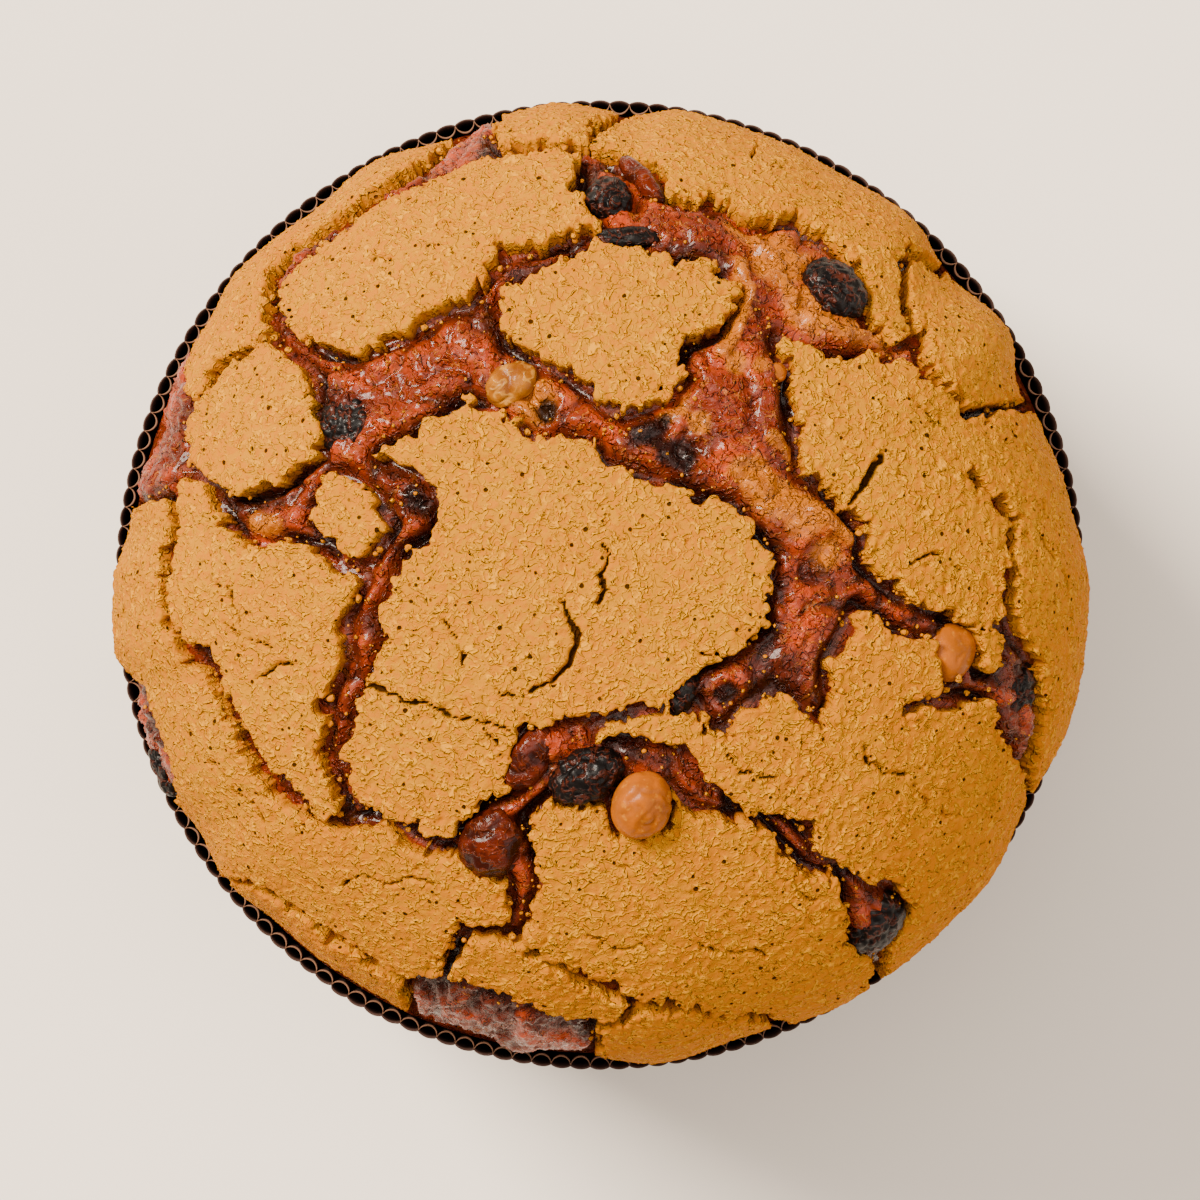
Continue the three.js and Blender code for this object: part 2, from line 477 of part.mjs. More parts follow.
// A raisin, nut or piece of fruit: a wrinkled ellipsoid lying on the bare crust
function toppingMatrix({ at: [x, y], turn, rise }) {
  const skin = -GLAZE_THICKNESS;
  const z = heightOver(x, y, skin);
  const step = 0.5;
  const slope = new THREE.Vector3(
    heightOver(x - step, y, skin) - heightOver(x + step, y, skin),
    heightOver(x, y - step, skin) - heightOver(x, y + step, skin),
    2 * step,
  ).normalize();
  const lean = new THREE.Quaternion().setFromUnitVectors(new THREE.Vector3(0, 0, 1), slope);
  lean.multiply(new THREE.Quaternion().setFromAxisAngle(new THREE.Vector3(0, 0, 1), THREE.MathUtils.degToRad(turn)));
  const centre = new THREE.Vector3(x, y, z).addScaledVector(slope, rise);
  return new THREE.Matrix4().compose(centre, lean, new THREE.Vector3(1, 1, 1));
}
function toppingSolid(topping, grown) {
  const geometry = new THREE.SphereGeometry(1, 10, 6);
  const position = geometry.attributes.position;
  const [length, width, height] = topping.size;
  for (let i = 0; i < position.count; i++) {
    const [x, y, z] = [position.getX(i), position.getY(i), position.getZ(i)];
    const wrinkle = topping.wrinkle * noise(x * 2.4 + topping.at[0], y * 2.4 + topping.at[1], z * 2.4);
    const swell = wrinkle + grown;
    position.setXYZ(i, x * (length / 2 + swell), y * (width / 2 + swell), z * (height / 2 + swell));
  }
  return solidOf(geometry.applyMatrix4(toppingMatrix(topping)));
}

// Putting it together
const panettone = new THREE.Group();
function addPiece(name, solid, material) {
  const mesh = new THREE.Mesh(geometryOf(solid), material);
  mesh.name = name;
  panettone.add(mesh);
}

const sockets = Object.values(TOPPINGS).map((topping) => toppingSolid(topping, GAP));
const loafSolid = largestPiece(sockets.reduce((body, socket) => body.subtract(socket), loaf()));
addPiece("paper_case", paperCase(), CASE_PAPER);
addPiece("loaf", loafSolid, CRUST);

const plates = plateSolids(glazeShell());
for (const [name, [x, y]] of Object.entries(PLATES)) {
  const probe = solidOf(new THREE.BoxGeometry(1, 1, 6)).translate([x, y, heightOver(x, y, -1)]);
  const plate = plates.find((piece) => piece.intersect(probe).volume() > 0.1);
  if (!plate) throw new Error(`no glaze of its own lies at the point that names ${name}`);
  plates.splice(plates.indexOf(plate), 1);
  const fitted = sockets.reduce((body, socket) => body.subtract(socket), plate);
  addPiece(name, largestPiece(fitted), GLAZE);
}

for (const [name, topping] of Object.entries(TOPPINGS)) {
  addPiece(name, toppingSolid(topping, 0), TOPPING_FINISH[name.split("_")[0]] ?? HAZELNUT);
}

export default panettone;
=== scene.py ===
"""A tall glazed panettone in its paper case: the baked surfaces over the solids of the shared frame.

Lengths are in millimetres until a mesh is made, and in metres after that.
"""

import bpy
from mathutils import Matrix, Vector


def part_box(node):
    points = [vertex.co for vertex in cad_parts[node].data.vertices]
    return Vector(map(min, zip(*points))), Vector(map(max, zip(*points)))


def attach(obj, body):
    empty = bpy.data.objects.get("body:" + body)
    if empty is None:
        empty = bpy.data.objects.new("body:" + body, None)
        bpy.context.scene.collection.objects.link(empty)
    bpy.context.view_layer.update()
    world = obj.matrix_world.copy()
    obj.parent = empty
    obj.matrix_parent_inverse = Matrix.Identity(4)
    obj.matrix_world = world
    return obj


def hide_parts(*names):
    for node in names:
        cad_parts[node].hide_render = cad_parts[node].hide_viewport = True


bl_info = {
    "name": "Glazed Panettone",
    "version": (1, 0, 0),
    "blender": (4, 5, 0),
    "location": "View3D > Sidebar > Panettone",
    "description": "Builds a glazed panettone: crust, cracked glaze, fruit, nuts and paper case",
    "category": "Add Mesh",
}

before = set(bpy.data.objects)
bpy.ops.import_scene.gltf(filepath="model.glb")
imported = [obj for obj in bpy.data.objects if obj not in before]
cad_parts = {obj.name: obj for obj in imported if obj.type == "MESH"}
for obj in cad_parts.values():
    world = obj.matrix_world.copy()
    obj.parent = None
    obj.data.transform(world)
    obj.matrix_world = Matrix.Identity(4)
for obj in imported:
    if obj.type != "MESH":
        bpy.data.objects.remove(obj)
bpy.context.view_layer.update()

import math

import bpy
import numpy as np
from bpy.props import FloatProperty, FloatVectorProperty, IntProperty, PointerProperty
from mathutils.geometry import tessellate_polygon

MM = 0.001
BODY = "root"
GLAZE_NODES = sorted(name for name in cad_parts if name.startswith("glaze_"))

# The dome, as the solids have it
CASE_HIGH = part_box("paper_case")[1]
CASE_RADIUS = CASE_HIGH.x / MM
CASE_HEIGHT = CASE_HIGH.z / MM
WIDEST_Z = CASE_HEIGHT + 2.5
DOME_HEIGHT = 50.0
DOME_POWER = 2.4
CROWN_RADIUS = CASE_RADIUS - 1.8
CASE_WALL = 2.3
CASE_FLOOR = 1.1
WIDEST_RING = (
    (0, 85.2), (10, 83), (20, 81.6), (25, 80.4), (32, 83.8), (42, 81), (50, 83.8), (60, 82.8),
    (70, 83.4), (80, 83.8), (86, 82), (95, 84.1), (103, 83.4), (109, 81.8), (118, 83.6), (127, 82),
    (140, 83.3), (146, 82.3), (153, 83.1), (161, 81.8), (168, 82.8), (173, 82.6), (180, 84.8),
    (187, 85.2), (193, 83.2), (204, 83.5), (212, 81.9), (218, 83), (228, 81.2), (240, 81),
    (252, 82.1), (262, 82.9), (268, 82), (277, 83.9), (288, 82.6), (302, 84.6), (315, 84.5),
    (323, 85), (332, 83.5), (345, 85.3), (360, 85.2),
)

# The glaze: levels down its broken side, and how far round its outline its edge may wander
SIDE_LEVELS = (0.12, 0.3, 0.5, 0.72, 1.0)
EDGE_MARGIN = 1.5
# How far inside the dome's face, as a share of its size, still counts as on it
FACE_TOLERANCE = 0.036
# Loops of fewer points than this are scraps of the clipping, with no side of their own
SHORTEST_LOOP = 20

# The paper case: one sheet's thickness, points round a flute, and the degrees where the outer sheet's
# glued lap starts and where it thins out
SHEET = 0.32
POINTS_PER_FLUTE = 14
LAP_START, LAP_THINS, LAP_END = 236, 242, 246

# Crumbs: the share of the dome they lie on, and how far from the glaze a ledge and a loose one may be
CRUMB_REACH = 0.92
LEDGE_WIDTH, LOOSE_WIDTH = 0.75, 4.5

# The stage: half the floor in millimetres, the camera's shift, and soft square lights as place and size
# in metres, power in watts and colour
FLOOR_HALF = 4000
CAMERA_SHIFT = -0.0125
LIGHTS = (
    ("window_light", (-1.5, 1.2, 2.1), 0.95, 215, "#fff1e0"),
    ("fill_light", (1.3, -0.5, 1.2), 1.6, 17, "#fff6ee"),
    ("top_light", (-0.1, 0.3, 1.9), 1.3, 24, "#fff4e8"),
)
WORLD_TINT, WORLD_STRENGTH = "#f8e8d8", 0.42

# Hairline cracks that don't part the glaze, as plan points read from above
HAIRLINES = (
    ((-25, -22), (-20, -22.5), (-15, -24)),
    ((-26, -6), (-24, -9), (-22.5, -13.5), (-18, -16.5), (-14.5, -19)),
    ((-20, -22.5), (-17, -27), (-14.5, -33), (-13, -36)),
    ((-71, 6), (-66, 2), (-62, -1.5), (-60, -6)),
    ((-47, -10), (-51, -13.5), (-54, -13), (-57, -16)),
    ((-63, -6), (-59, -9), (-55, -10.5)),
    ((27, 76), (25, 71), (21, 70)),
    ((29, 72.5), (34, 69), (38, 68), (43, 63)),
    ((52, 3.5), (56, 5), (60, 2.5)),
    ((21, -28), (24, -31), (29, -32.5), (31, -36)),
    ((43, -27), (47, -31), (52, -32.5), (55, -37), (60, -39)),
    ((-45, -52), (-41, -49.5), (-36, -51), (-32, -49), (-28, -50.5)),
    ((-66, -30), (-61, -36), (-57, -40)),
    ((16, -60), (21, -62.5), (26, -61.5), (31, -64)),
    ((-2, -58), (3, -61), (7, -60)),
    ((33, -51), (37, -54), (41, -56)),
    ((-40, 57), (-37, 55), (-34, 56.5)),
    ((50, 33), (55, 30), (58, 25)),
    ((74, 10), (77, 4), (78.5, -2)),
)

# Cracks that gape a little without parting the glaze
GAPING = (
    ((0.1, 6.5), (1.2, 4.7), (0.5, 1.3), (1, -0.4), (-0.7, -3)),
    ((-6.2, -3.2), (-5.1, -6), (-4.2, -8.7), (-5.3, -12.1), (-7.5, -16.1), (-10.5, -17.8)),
    ((47.5, 21.5), (46.4, 19.9), (45.2, 18), (44.3, 16.8), (43.1, 15.4), (41.5, 13.5)),
    ((-41, -17), (-36, -17.5), (-32, -19.5), (-29, -19), (-25, -22)),
)

# Plan centres and radii where the bare crust is scorched almost black, dark brown, deep red-brown, or
# thin and golden
SCORCHED = ((8, 26.5, 4.5), (13.5, 22, 4), (-9, 29.5, 2.5), (-30, 15, 4), (21, -18.5, 2.5), (-48, 58, 3))
UMBER = ((29, -15, 5), (-44, 29, 6), (24, -3, 3), (-5, -33, 4), (-47, 14, 3), (58, -7, 4),
         (-38, -30, 4), (44, -42, 5), (4, -26, 4), (36, 2, 2.5), (-30, -71, 6), (-19, -74, 6), (-8, -76, 6),
         (-81, -10, 5), (-80, -18, 5), (-78, -25, 5))
RUDDY = ((18.5, 59.5, 5.5), (26.5, 49.5, 3), (28, 43, 4.5), (21, 31, 6), (29, 29, 6), (31, 23, 4),
         (-79, 16, 6), (-77, 24, 7), (-73, 32, 6))
GOLDEN = ((31, 56, 6), (26, 62, 5), (36, 47, 5), (44, 44, 4), (50, 41, 3), (23, 37.6, 2.5), (27, 37, 2),
          (12.4, 30.4, 3), (16.6, 27.3, 2), (25.5, 18.5, 3.5), (30, 15, 4), (34.5, 11.5, 4), (38.5, 5, 3),
          (-13, 31, 6), (-58, 9, 4), (9, -24, 3))

# Amber cords of syrup and dough that stand out of the bare crust, as plan points
STRANDS = (
    ((26.9, 59.6), (28.8, 56.3), (30.2, 53), (31.6, 50.2), (33, 46.9), (36.3, 44.6), (41, 42.7),
     (45.7, 42.3), (50.4, 41.3)),
    ((23.6, 55.4), (24.6, 49.3), (22.7, 43.2), (20.3, 39.4)),
    ((28.7, 24.4), (31, 23.5), (33.6, 21.7)),
    ((36.5, 12.7), (39, 11), (41.9, 7.9)),
)


def length(name, description, millimetres):
    """One length property with its default."""
    return FloatProperty(name=name, description=description, default=millimetres * MM, unit="LENGTH")


class PanettoneSizes(bpy.types.PropertyGroup):
    """Sizes of the fine surfaces, over those that the frame fixes."""

    glaze_thickness: length("Glaze thickness", "From the dome's face to the crust below", 2.3)
    glaze_step: length("Glaze step", "Distance between points on the glaze", 0.42)
    crust_step: length("Crust step", "Distance between points on the crust", 0.68)
    ragged_depth: length("Ragged depth", "How far the glaze's broken edge wanders", 1.05)
    lip_radius: length("Lip radius", "Rounding along the glaze's upper edge", 0.38)
    crevice_depth: length("Crevice depth", "How far the crust drops beside the glaze", 3.2)
    flute_count: IntProperty(
        name="Flutes", description="Upright flutes round the paper case", default=154, min=12)
    flute_depth: length("Flute depth", "From the facing paper to a flute's inner crest", 1.75)
    crumb_count: IntProperty(
        name="Crumbs", description="Loose crumbs of glaze in the fissures", default=900, min=0)
    camera_height: length("Camera height", "Camera above the case's rim", 900)
    view_width: length("View width", "Width seen at the case's rim", 210.3)


def linear(code):
    """An sRGB hex colour as the linear values that shaders take."""
    parts = [int(code[i:i + 2], 16) / 255 for i in (1, 3, 5)]
    return tuple(c / 12.92 if c <= 0.04045 else ((c + 0.055) / 1.055) ** 2.4 for c in parts)


def colour(name, description, code):
    """One colour property with its default."""
    return FloatVectorProperty(name=name, description=description, subtype="COLOR", size=3,
                               min=0, max=1, default=linear(code))


class PanettoneColours(bpy.types.PropertyGroup):
    """The main colour of each material."""

    glaze: colour("Glaze", "Baked sugar glaze", "#ad7600")
    # Also the colour of the painted shade on the glaze's front, away from the light
    glaze_toast_and_shade: colour("Toasted glaze", "Glaze where it browned", "#b06400")
    # Painted highlight: the lighter colour of the ridge crests
    glaze_ridge_highlight: colour("Glaze ridges", "Crests of the fine ridges", "#d29008")
    # Painted shade: the near-black colour inside the pinholes
    glaze_pinhole_shade: colour("Glaze pinholes", "Inside of the pinholes", "#220c01")
    crust: colour("Crust", "Bare crust on its lobes", "#a0370f")
    # Painted shade: the near-black colour of the crust's crevices, folds and narrow fissures
    crust_crevice_shade: colour("Deep crust", "Bare crust in the crevices", "#180602")
    crust_golden: colour("Golden crust", "Thin candied crust", "#ac6000")
    raisin: colour("Raisin", "Raisin skin", "#110d0b")
    red_fruit: colour("Red fruit", "Candied cherry and dried fruit", "#561804")
    citron: colour("Citron", "Candied peel", "#985a04")
    hazelnut: colour("Hazelnut", "Roasted hazelnut skin", "#a05200")
    paper: colour("Paper", "Baking paper of the case", "#2c150d")
    paper_edge: colour("Paper edge", "Cut edge of the paper", "#765138")
    floor: colour("Floor", "Studio floor", "#fbf1e4")


# Repeatable noise and small shaping functions
def lattice(cell, seed):
    """A repeatable value from -1 to 1 at each whole-number point."""
    h = (cell[..., 0] * 374761393 + cell[..., 1] * 668265263 + cell[..., 2] * 1440670441 + seed * 69069)
    h &= 0xFFFFFFFF
    h = ((h ^ (h >> 13)) * 1274126177) & 0xFFFFFFFF
    return (h ^ (h >> 16)) / 2147483647.5 - 1


def noise(points, size, seed=0):
    """Smooth noise from -1 to 1 at points of two or three coordinates, its bumps size apart.

    Each use has its own seed, so that no two patterns fall together.
    """
    points = np.asarray(points, float)
    if points.shape[-1] == 2:
        points = np.concatenate([points, np.zeros(points.shape[:-1] + (1,))], axis=-1)
    scaled = points / size + seed * 0.371
    cell = np.floor(scaled).astype(np.int64)
    part = scaled - cell
    part = part * part * (3 - 2 * part)
    total = np.zeros(points.shape[:-1])
    for corner in range(8):
        step = np.array([corner & 1, corner >> 1 & 1, corner >> 2])
        weight = np.prod(np.where(step == 1, part, 1 - part), axis=-1)
        total += weight * lattice(cell + step, seed)
    return total


def creases(points, size, width, seed=0):
    """1 along winding lines about size apart, falling to 0 within width of them."""
    bent = noise(points, size, seed) + 0.35 * noise(points, size * 0.45, seed + 1)
    return np.clip(1 - np.abs(bent) * size / width / 2.2, 0, 1)


def smooth(low, high, value):
    """0 below low, 1 above high, and an even ramp between them."""
    t = np.clip((value - low) / (high - low), 0, 1)
    return t * t * (3 - 2 * t)


def drift(flat, size, seed):
    """A smooth shift up to 1 each way for each point of the flat disc."""
    return np.stack([noise(flat, size, seed), noise(flat, size, seed + 1)], axis=1)


def distance(points):
    """How far each point is from the axis."""
    return np.hypot(points[:, 0], points[:, 1])


def bearing(points):
    """Each point's angle round the axis in radians."""
    return np.arctan2(points[:, 1], points[:, 0])


def placed(radius, angle, *height):
    """Points at a radius and an angle round the axis, and at a height if one is given."""
    return np.column_stack([radius * np.cos(angle), radius * np.sin(angle), *height])


# The dome laid out flat: a disc whose radius is the distance down the dome from its top
POLAR = np.linspace(0, math.pi / 2, 1200)
FALL = np.sin(POLAR) ** (2 / DOME_POWER)
ARC = np.concatenate([[0], np.cumsum(np.hypot(
    np.diff(CROWN_RADIUS * FALL), np.diff(DOME_HEIGHT * np.cos(POLAR))))])


def widest_radius(angle):
    """The radius of the dome's widest ring at an angle in radians."""
    degrees = np.degrees(angle) % 360
    ring = np.array(WIDEST_RING, float)
    after = np.clip(np.searchsorted(ring[:, 0], degrees, side="right"), 1, len(ring) - 1)
    low, high = ring[after - 1], ring[after]
    return low[..., 1] + (high[..., 1] - low[..., 1]) * smooth(low[..., 0], high[..., 0], degrees)


def dome_radius(angle, fall):
    """The radius that the dome's rounding is scaled by, from its crown to its widest ring."""
    blend = smooth(0.55, 1, fall)
    return blend * widest_radius(angle) + (1 - blend) * CROWN_RADIUS


def on_dome(flat, offset):
    """Points on the dome for points of the flat disc, at an offset out from its face."""
    angle = bearing(flat)
    polar = np.interp(distance(flat), ARC, POLAR)
    fall = np.sin(polar) ** (2 / DOME_POWER)
    radius = (dome_radius(angle, fall) + offset) * fall
    return placed(radius, angle, WIDEST_Z + (DOME_HEIGHT + offset) * np.cos(polar))


def flattened(points):
    """Flat disc points for points on the dome, and how far each is from its face, 0 on it."""
    angle = bearing(points)
    up = np.clip((points[:, 2] - WIDEST_Z) / DOME_HEIGHT, 0, 1)
    fall = np.sqrt(1 - up * up) ** (2 / DOME_POWER)
    out = (distance(points) / dome_radius(angle, fall)) ** (DOME_POWER / 2)
    return placed(np.interp(np.arctan2(out, up), POLAR, ARC), angle), out * out + up * up - 1


def from_plan(plan):
    """Flat disc points for plan points on the dome."""
    plan = np.asarray(plan, float)
    fall = np.clip(distance(plan) / CROWN_RADIUS, 0, 1)
    return placed(np.interp(fall, FALL, ARC), bearing(plan))


# Outlines and distances on the flat disc
def chained(edges):
    """Loops of point numbers from directed edges that join end to end."""
    follow = dict(edges)
    loops = []
    while follow:
        start = next(iter(follow))
        loop = []
        while start in follow:
            loop.append(start)
            start = follow.pop(start)
        loops.append(loop)
    return loops


def glaze_outlines(node):
    """The loops round a glaze node's outer face, on the flat disc."""
    mesh = bpy.data.objects[node].data
    mesh.calc_loop_triangles()
    points = np.empty(len(mesh.vertices) * 3)
    mesh.vertices.foreach_get("co", points)
    triangles = np.empty(len(mesh.loop_triangles) * 3, np.int64)
    mesh.loop_triangles.foreach_get("vertices", triangles)
    points, merged = np.unique(np.round(points.reshape(-1, 3) / MM, 3), axis=0, return_inverse=True)
    triangles = merged.ravel()[triangles].reshape(-1, 3)
    flat, beyond = flattened(points)
    outer = triangles[(beyond[triangles] > -FACE_TOLERANCE).all(axis=1)]
    directed = {(a, b) for t in outer.tolist() for a, b in zip(t, t[1:] + t[:1])}
    edges = [(a, b) for a, b in directed if (b, a) not in directed]
    loops = [flat[loop] for loop in chained(sorted(edges)) if len(loop) > 4]
    if not loops:
        raise RuntimeError(f"{node} has no outer face on the dome")
    return loops


def depth_inside(flat, loops):
    """How far each point is inside the loops, below 0 outside them."""
    nearest = np.full(len(flat), np.inf)
    inside = np.zeros(len(flat), bool)
    x, y = flat[:, 0], flat[:, 1]
    for loop in loops:
        for (ax, ay), (bx, by) in zip(loop, np.roll(loop, -1, axis=0)):
            dx, dy = bx - ax, by - ay
            t = np.clip(((x - ax) * dx + (y - ay) * dy) / max(dx * dx + dy * dy, 1e-9), 0, 1)
            nearest = np.minimum(nearest, (x - ax - t * dx) ** 2 + (y - ay - t * dy) ** 2)
            if ay != by:
                inside ^= ((ay > y) != (by > y)) & (x < ax + (y - ay) / (by - ay) * dx)
    return np.where(inside, 1, -1) * np.sqrt(nearest)


def distance_to_lines(flat, lines):
    """How far each point is from the nearest of some open lines."""
    nearest = np.full(len(flat), 1e6)
    for line in lines:
        for (ax, ay), (bx, by) in zip(line[:-1], line[1:]):
            dx, dy = bx - ax, by - ay
            t = np.clip(((flat[:, 0] - ax) * dx + (flat[:, 1] - ay) * dy) / (dx * dx + dy * dy), 0, 1)
            away = (flat[:, 0] - ax - t * dx) ** 2 + (flat[:, 1] - ay - t * dy) ** 2
            nearest = np.minimum(nearest, away)
    return np.sqrt(nearest)


def spots(flat, circles):
    """1 in the middle of soft spots given as plan centre and radius, 0 outside them."""
    centres = from_plan([circle[:2] for circle in circles])
    total = np.zeros(len(flat))
    for centre, (_, _, radius) in zip(centres, circles):
        away = distance(flat - centre) + 1.5 * noise(flat, 3.0, 31)
        total = np.maximum(total, 1 - smooth(radius * 0.55, radius * 1.35, away))
    return total


def clipped_grid(low, high, step, field):
    """A triangle mesh of a flat field's positive part: points, depths, triangles, edge loops."""
    across = np.arange(low[0], high[0] + step, step)
    along = np.arange(low[1], high[1] + step, step)
    grid = np.stack(np.meshgrid(across, along), axis=-1).reshape(-1, 2)
    depth = field(grid)
    first = (np.arange(len(along) - 1)[:, None] * len(across) + np.arange(len(across) - 1)).ravel()
    corners = np.stack([first, first + 1, first + 1 + len(across), first + len(across)], axis=1)
    triangles = np.concatenate([corners[:, [0, 1, 2]], corners[:, [0, 2, 3]]])
    count = (depth[triangles] > 0).sum(axis=1)
    whole = triangles[count == 3]

    def turned(chosen, alone):
        lead = np.argmax((depth[chosen] > 0) == alone, axis=1)
        return np.take_along_axis(chosen, (lead[:, None] + np.arange(3)) % 3, axis=1)

    two, one = turned(triangles[count == 2], False), turned(triangles[count == 1], True)
    cut_edges = np.concatenate([two[:, [0, 1]], two[:, [2, 0]], one[:, [0, 1]], one[:, [2, 0]]])
    keys, place = np.unique(np.sort(cut_edges, axis=1), axis=0, return_inverse=True)
    place = place.ravel() + len(grid)
    t = (depth[keys[:, 0]] / (depth[keys[:, 0]] - depth[keys[:, 1]]))[:, None]
    crossings = grid[keys[:, 0]] * (1 - t) + grid[keys[:, 1]] * t
    in_two, out_two, out_one, in_one = np.split(place, np.cumsum([len(two), len(two), len(one)]))
    pieces = [
        whole,
        np.stack([in_two, two[:, 1], two[:, 2]], axis=1),
        np.stack([in_two, two[:, 2], out_two], axis=1),
        np.stack([one[:, 0], out_one, in_one], axis=1),
    ]
    edges = np.concatenate([np.stack([in_two, out_two], axis=1)[:, ::-1],
                            np.stack([out_one, in_one], axis=1)])
    faces = np.concatenate(pieces)
    points = np.concatenate([grid, crossings])
    depth = np.concatenate([depth, np.zeros(len(crossings))])
    used, renamed = np.unique(faces, return_inverse=True)
    number = np.full(len(points), -1)
    number[used] = np.arange(len(used))
    edges = number[edges]
    loops = [np.array(loop) for loop in chained([tuple(e) for e in edges.tolist()]) if len(loop) > 8]
    return points[used], depth[used], renamed.reshape(-1, 3), loops


# Making Blender pieces
def new_piece(name, points, faces, material, nodes=(), values=None):
    """A smooth mesh piece that rides on the loaf and stands for some nodes of the frame."""
    mesh = bpy.data.meshes.new(name)
    faces = [np.asarray(f, np.int64) for f in (faces if isinstance(faces, list) else [faces])]
    corners = np.concatenate([f.ravel() for f in faces])
    sizes = np.concatenate([np.full(len(f), f.shape[1]) for f in faces])
    mesh.vertices.add(len(points))
    mesh.vertices.foreach_set("co", (np.asarray(points) * MM).astype(np.float32).ravel())
    mesh.loops.add(len(corners))
    mesh.loops.foreach_set("vertex_index", corners.astype(np.int32))
    mesh.polygons.add(len(sizes))
    mesh.polygons.foreach_set("loop_start", np.concatenate([[0], np.cumsum(sizes)[:-1]]).astype(np.int32))
    mesh.polygons.foreach_set("use_smooth", np.ones(len(sizes), bool))
    mesh.update(calc_edges=True)
    mesh.validate()
    for key, value in (values or {}).items():
        attribute = mesh.attributes.new(key, "FLOAT", "POINT")
        attribute.data.foreach_set("value", np.full(len(points), value, np.float32))
    mesh.materials.append(material)
    piece = bpy.data.objects.new(name, mesh)
    bpy.context.collection.objects.link(piece)
    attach(piece, BODY)
    if nodes:
        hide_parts(*nodes)
    return piece


def band(upper, lower):
    """Quads between two equal rings of point numbers."""
    upper, lower = np.asarray(upper), np.asarray(lower)
    return np.stack([upper, lower, np.roll(lower, -1), np.roll(upper, -1)], axis=1)


def capped(points, ring):
    """Triangles that close a ring of point numbers."""
    flat = [(*points[i][:2], 0) for i in ring]
    triangles = tessellate_polygon([flat])
    return np.array([[ring[a], ring[b], ring[c]] for a, b, c in triangles])


# Materials
def add_node(tree, kind, out, settings=None, links=None):
    """Adds a shader node with its settings and links, and gives its output socket named out.

    A link's source is a socket, a number or a linear colour.
    """
    node = tree.nodes.new(kind)
    for key, value in (settings or {}).items():
        if key in node.bl_rna.properties:
            setattr(node, key, value)
        else:
            node.inputs[key].default_value = value
    for key, source in (links or {}).items():
        if isinstance(source, bpy.types.NodeSocket):
            tree.links.new(source, node.inputs[key])
        else:
            node.inputs[key].default_value = (*source, 1) if hasattr(source, "__len__") else source
    return node.outputs[out]


def new_material(name, **shader_values):
    """A material with its shader's uniform values set, its node tree and its shader node."""
    material = bpy.data.materials.new(name)
    material.use_nodes = True
    tree = material.node_tree
    shader = tree.nodes["Principled BSDF"]
    for key, value in shader_values.items():
        shader.inputs[key.replace("_", " ")].default_value = value
    return material, tree, shader


def painted(tree, shader, ground, coats):
    """Lays coats of colour over a ground and gives the shader the result.

    Each coat is a mask, how much it covers where the mask is 1, and a colour.
    """
    for mask, strength, coat in coats:
        coat = linear(coat) if isinstance(coat, str) else coat
        cover = add_node(tree, "ShaderNodeMath", 0, {"operation": "MULTIPLY"}, {0: mask, 1: strength})
        ground = add_node(tree, "ShaderNodeMix", 2, {"data_type": "RGBA"}, {0: cover, 6: ground, 7: coat})
    tree.links.new(ground, shader.inputs["Base Color"])


def patches(tree, size_mm, low, high, detail=3.0, distortion=0.0):
    """Soft patches size_mm across: 0 where the noise is below low, 1 where it is above high."""
    place = add_node(tree, "ShaderNodeTexCoord", "Object")
    source = add_node(tree, "ShaderNodeTexNoise", "Fac", {
        "Scale": 1 / (size_mm * MM), "Detail": detail, "Roughness": 0.6, "Distortion": distortion,
    }, {"Vector": place})
    return add_node(tree, "ShaderNodeMapRange", "Result", {
        "interpolation_type": "SMOOTHSTEP", "From Min": low, "From Max": high}, {"Value": source})


def carried(tree, name, low=0.0, high=1.0):
    """A value that the piece's points carry, stretched so that low gives 0 and high gives 1."""
    source = add_node(tree, "ShaderNodeAttribute", "Fac", {"attribute_name": name})
    return add_node(tree, "ShaderNodeMapRange", "Result", {
        "interpolation_type": "SMOOTHSTEP", "From Min": low, "From Max": high}, {"Value": source})


def worm_ridges(tree, size_mm, width):
    """1 along the crest of short winding ridges about size_mm apart, and 0 in the grooves between."""
    place = add_node(tree, "ShaderNodeTexCoord", "Object")
    source = add_node(tree, "ShaderNodeTexNoise", "Fac", {
        "Scale": 1 / (size_mm * MM), "Detail": 1.0, "Roughness": 0.4, "Distortion": 0.6},
        {"Vector": place})
    side = add_node(tree, "ShaderNodeMath", 0, {"operation": "SUBTRACT"}, {0: source, 1: 0.5})
    away = add_node(tree, "ShaderNodeMath", 0, {"operation": "ABSOLUTE"}, {0: side})
    crest = add_node(tree, "ShaderNodeMapRange", "Result", {
        "interpolation_type": "SMOOTHSTEP", "From Min": 0.0, "From Max": width, "To Min": 1.0, "To Max": 0.0,
    }, {"Value": away})
    return add_node(tree, "ShaderNodeMath", 0, {"operation": "MULTIPLY"}, {
        0: crest, 1: patches(tree, size_mm * 1.1, 0.4, 0.52, 1.5)})


def pinholes(tree, spacing_mm, radius_mm):
    """1 inside small round holes about spacing_mm apart, of mixed sizes up to radius_mm."""
    place = add_node(tree, "ShaderNodeTexCoord", "Object")
    texture = {"Scale": 1 / (spacing_mm * MM), "Randomness": 1.0}
    away = add_node(tree, "ShaderNodeTexVoronoi", "Distance", texture, {"Vector": place})
    chance = add_node(tree, "ShaderNodeTexVoronoi", "Color", texture, {"Vector": place})
    size = add_node(tree, "ShaderNodeMath", 0, {"operation": "MULTIPLY"},
                    {0: chance, 1: radius_mm / spacing_mm})
    beyond = add_node(tree, "ShaderNodeMath", 0, {"operation": "SUBTRACT"}, {0: away, 1: size})
    return add_node(tree, "ShaderNodeMapRange", "Result", {
        "interpolation_type": "SMOOTHSTEP", "From Min": -0.06, "From Max": 0.02, "To Min": 1.0, "To Max": 0.0,
    }, {"Value": beyond})


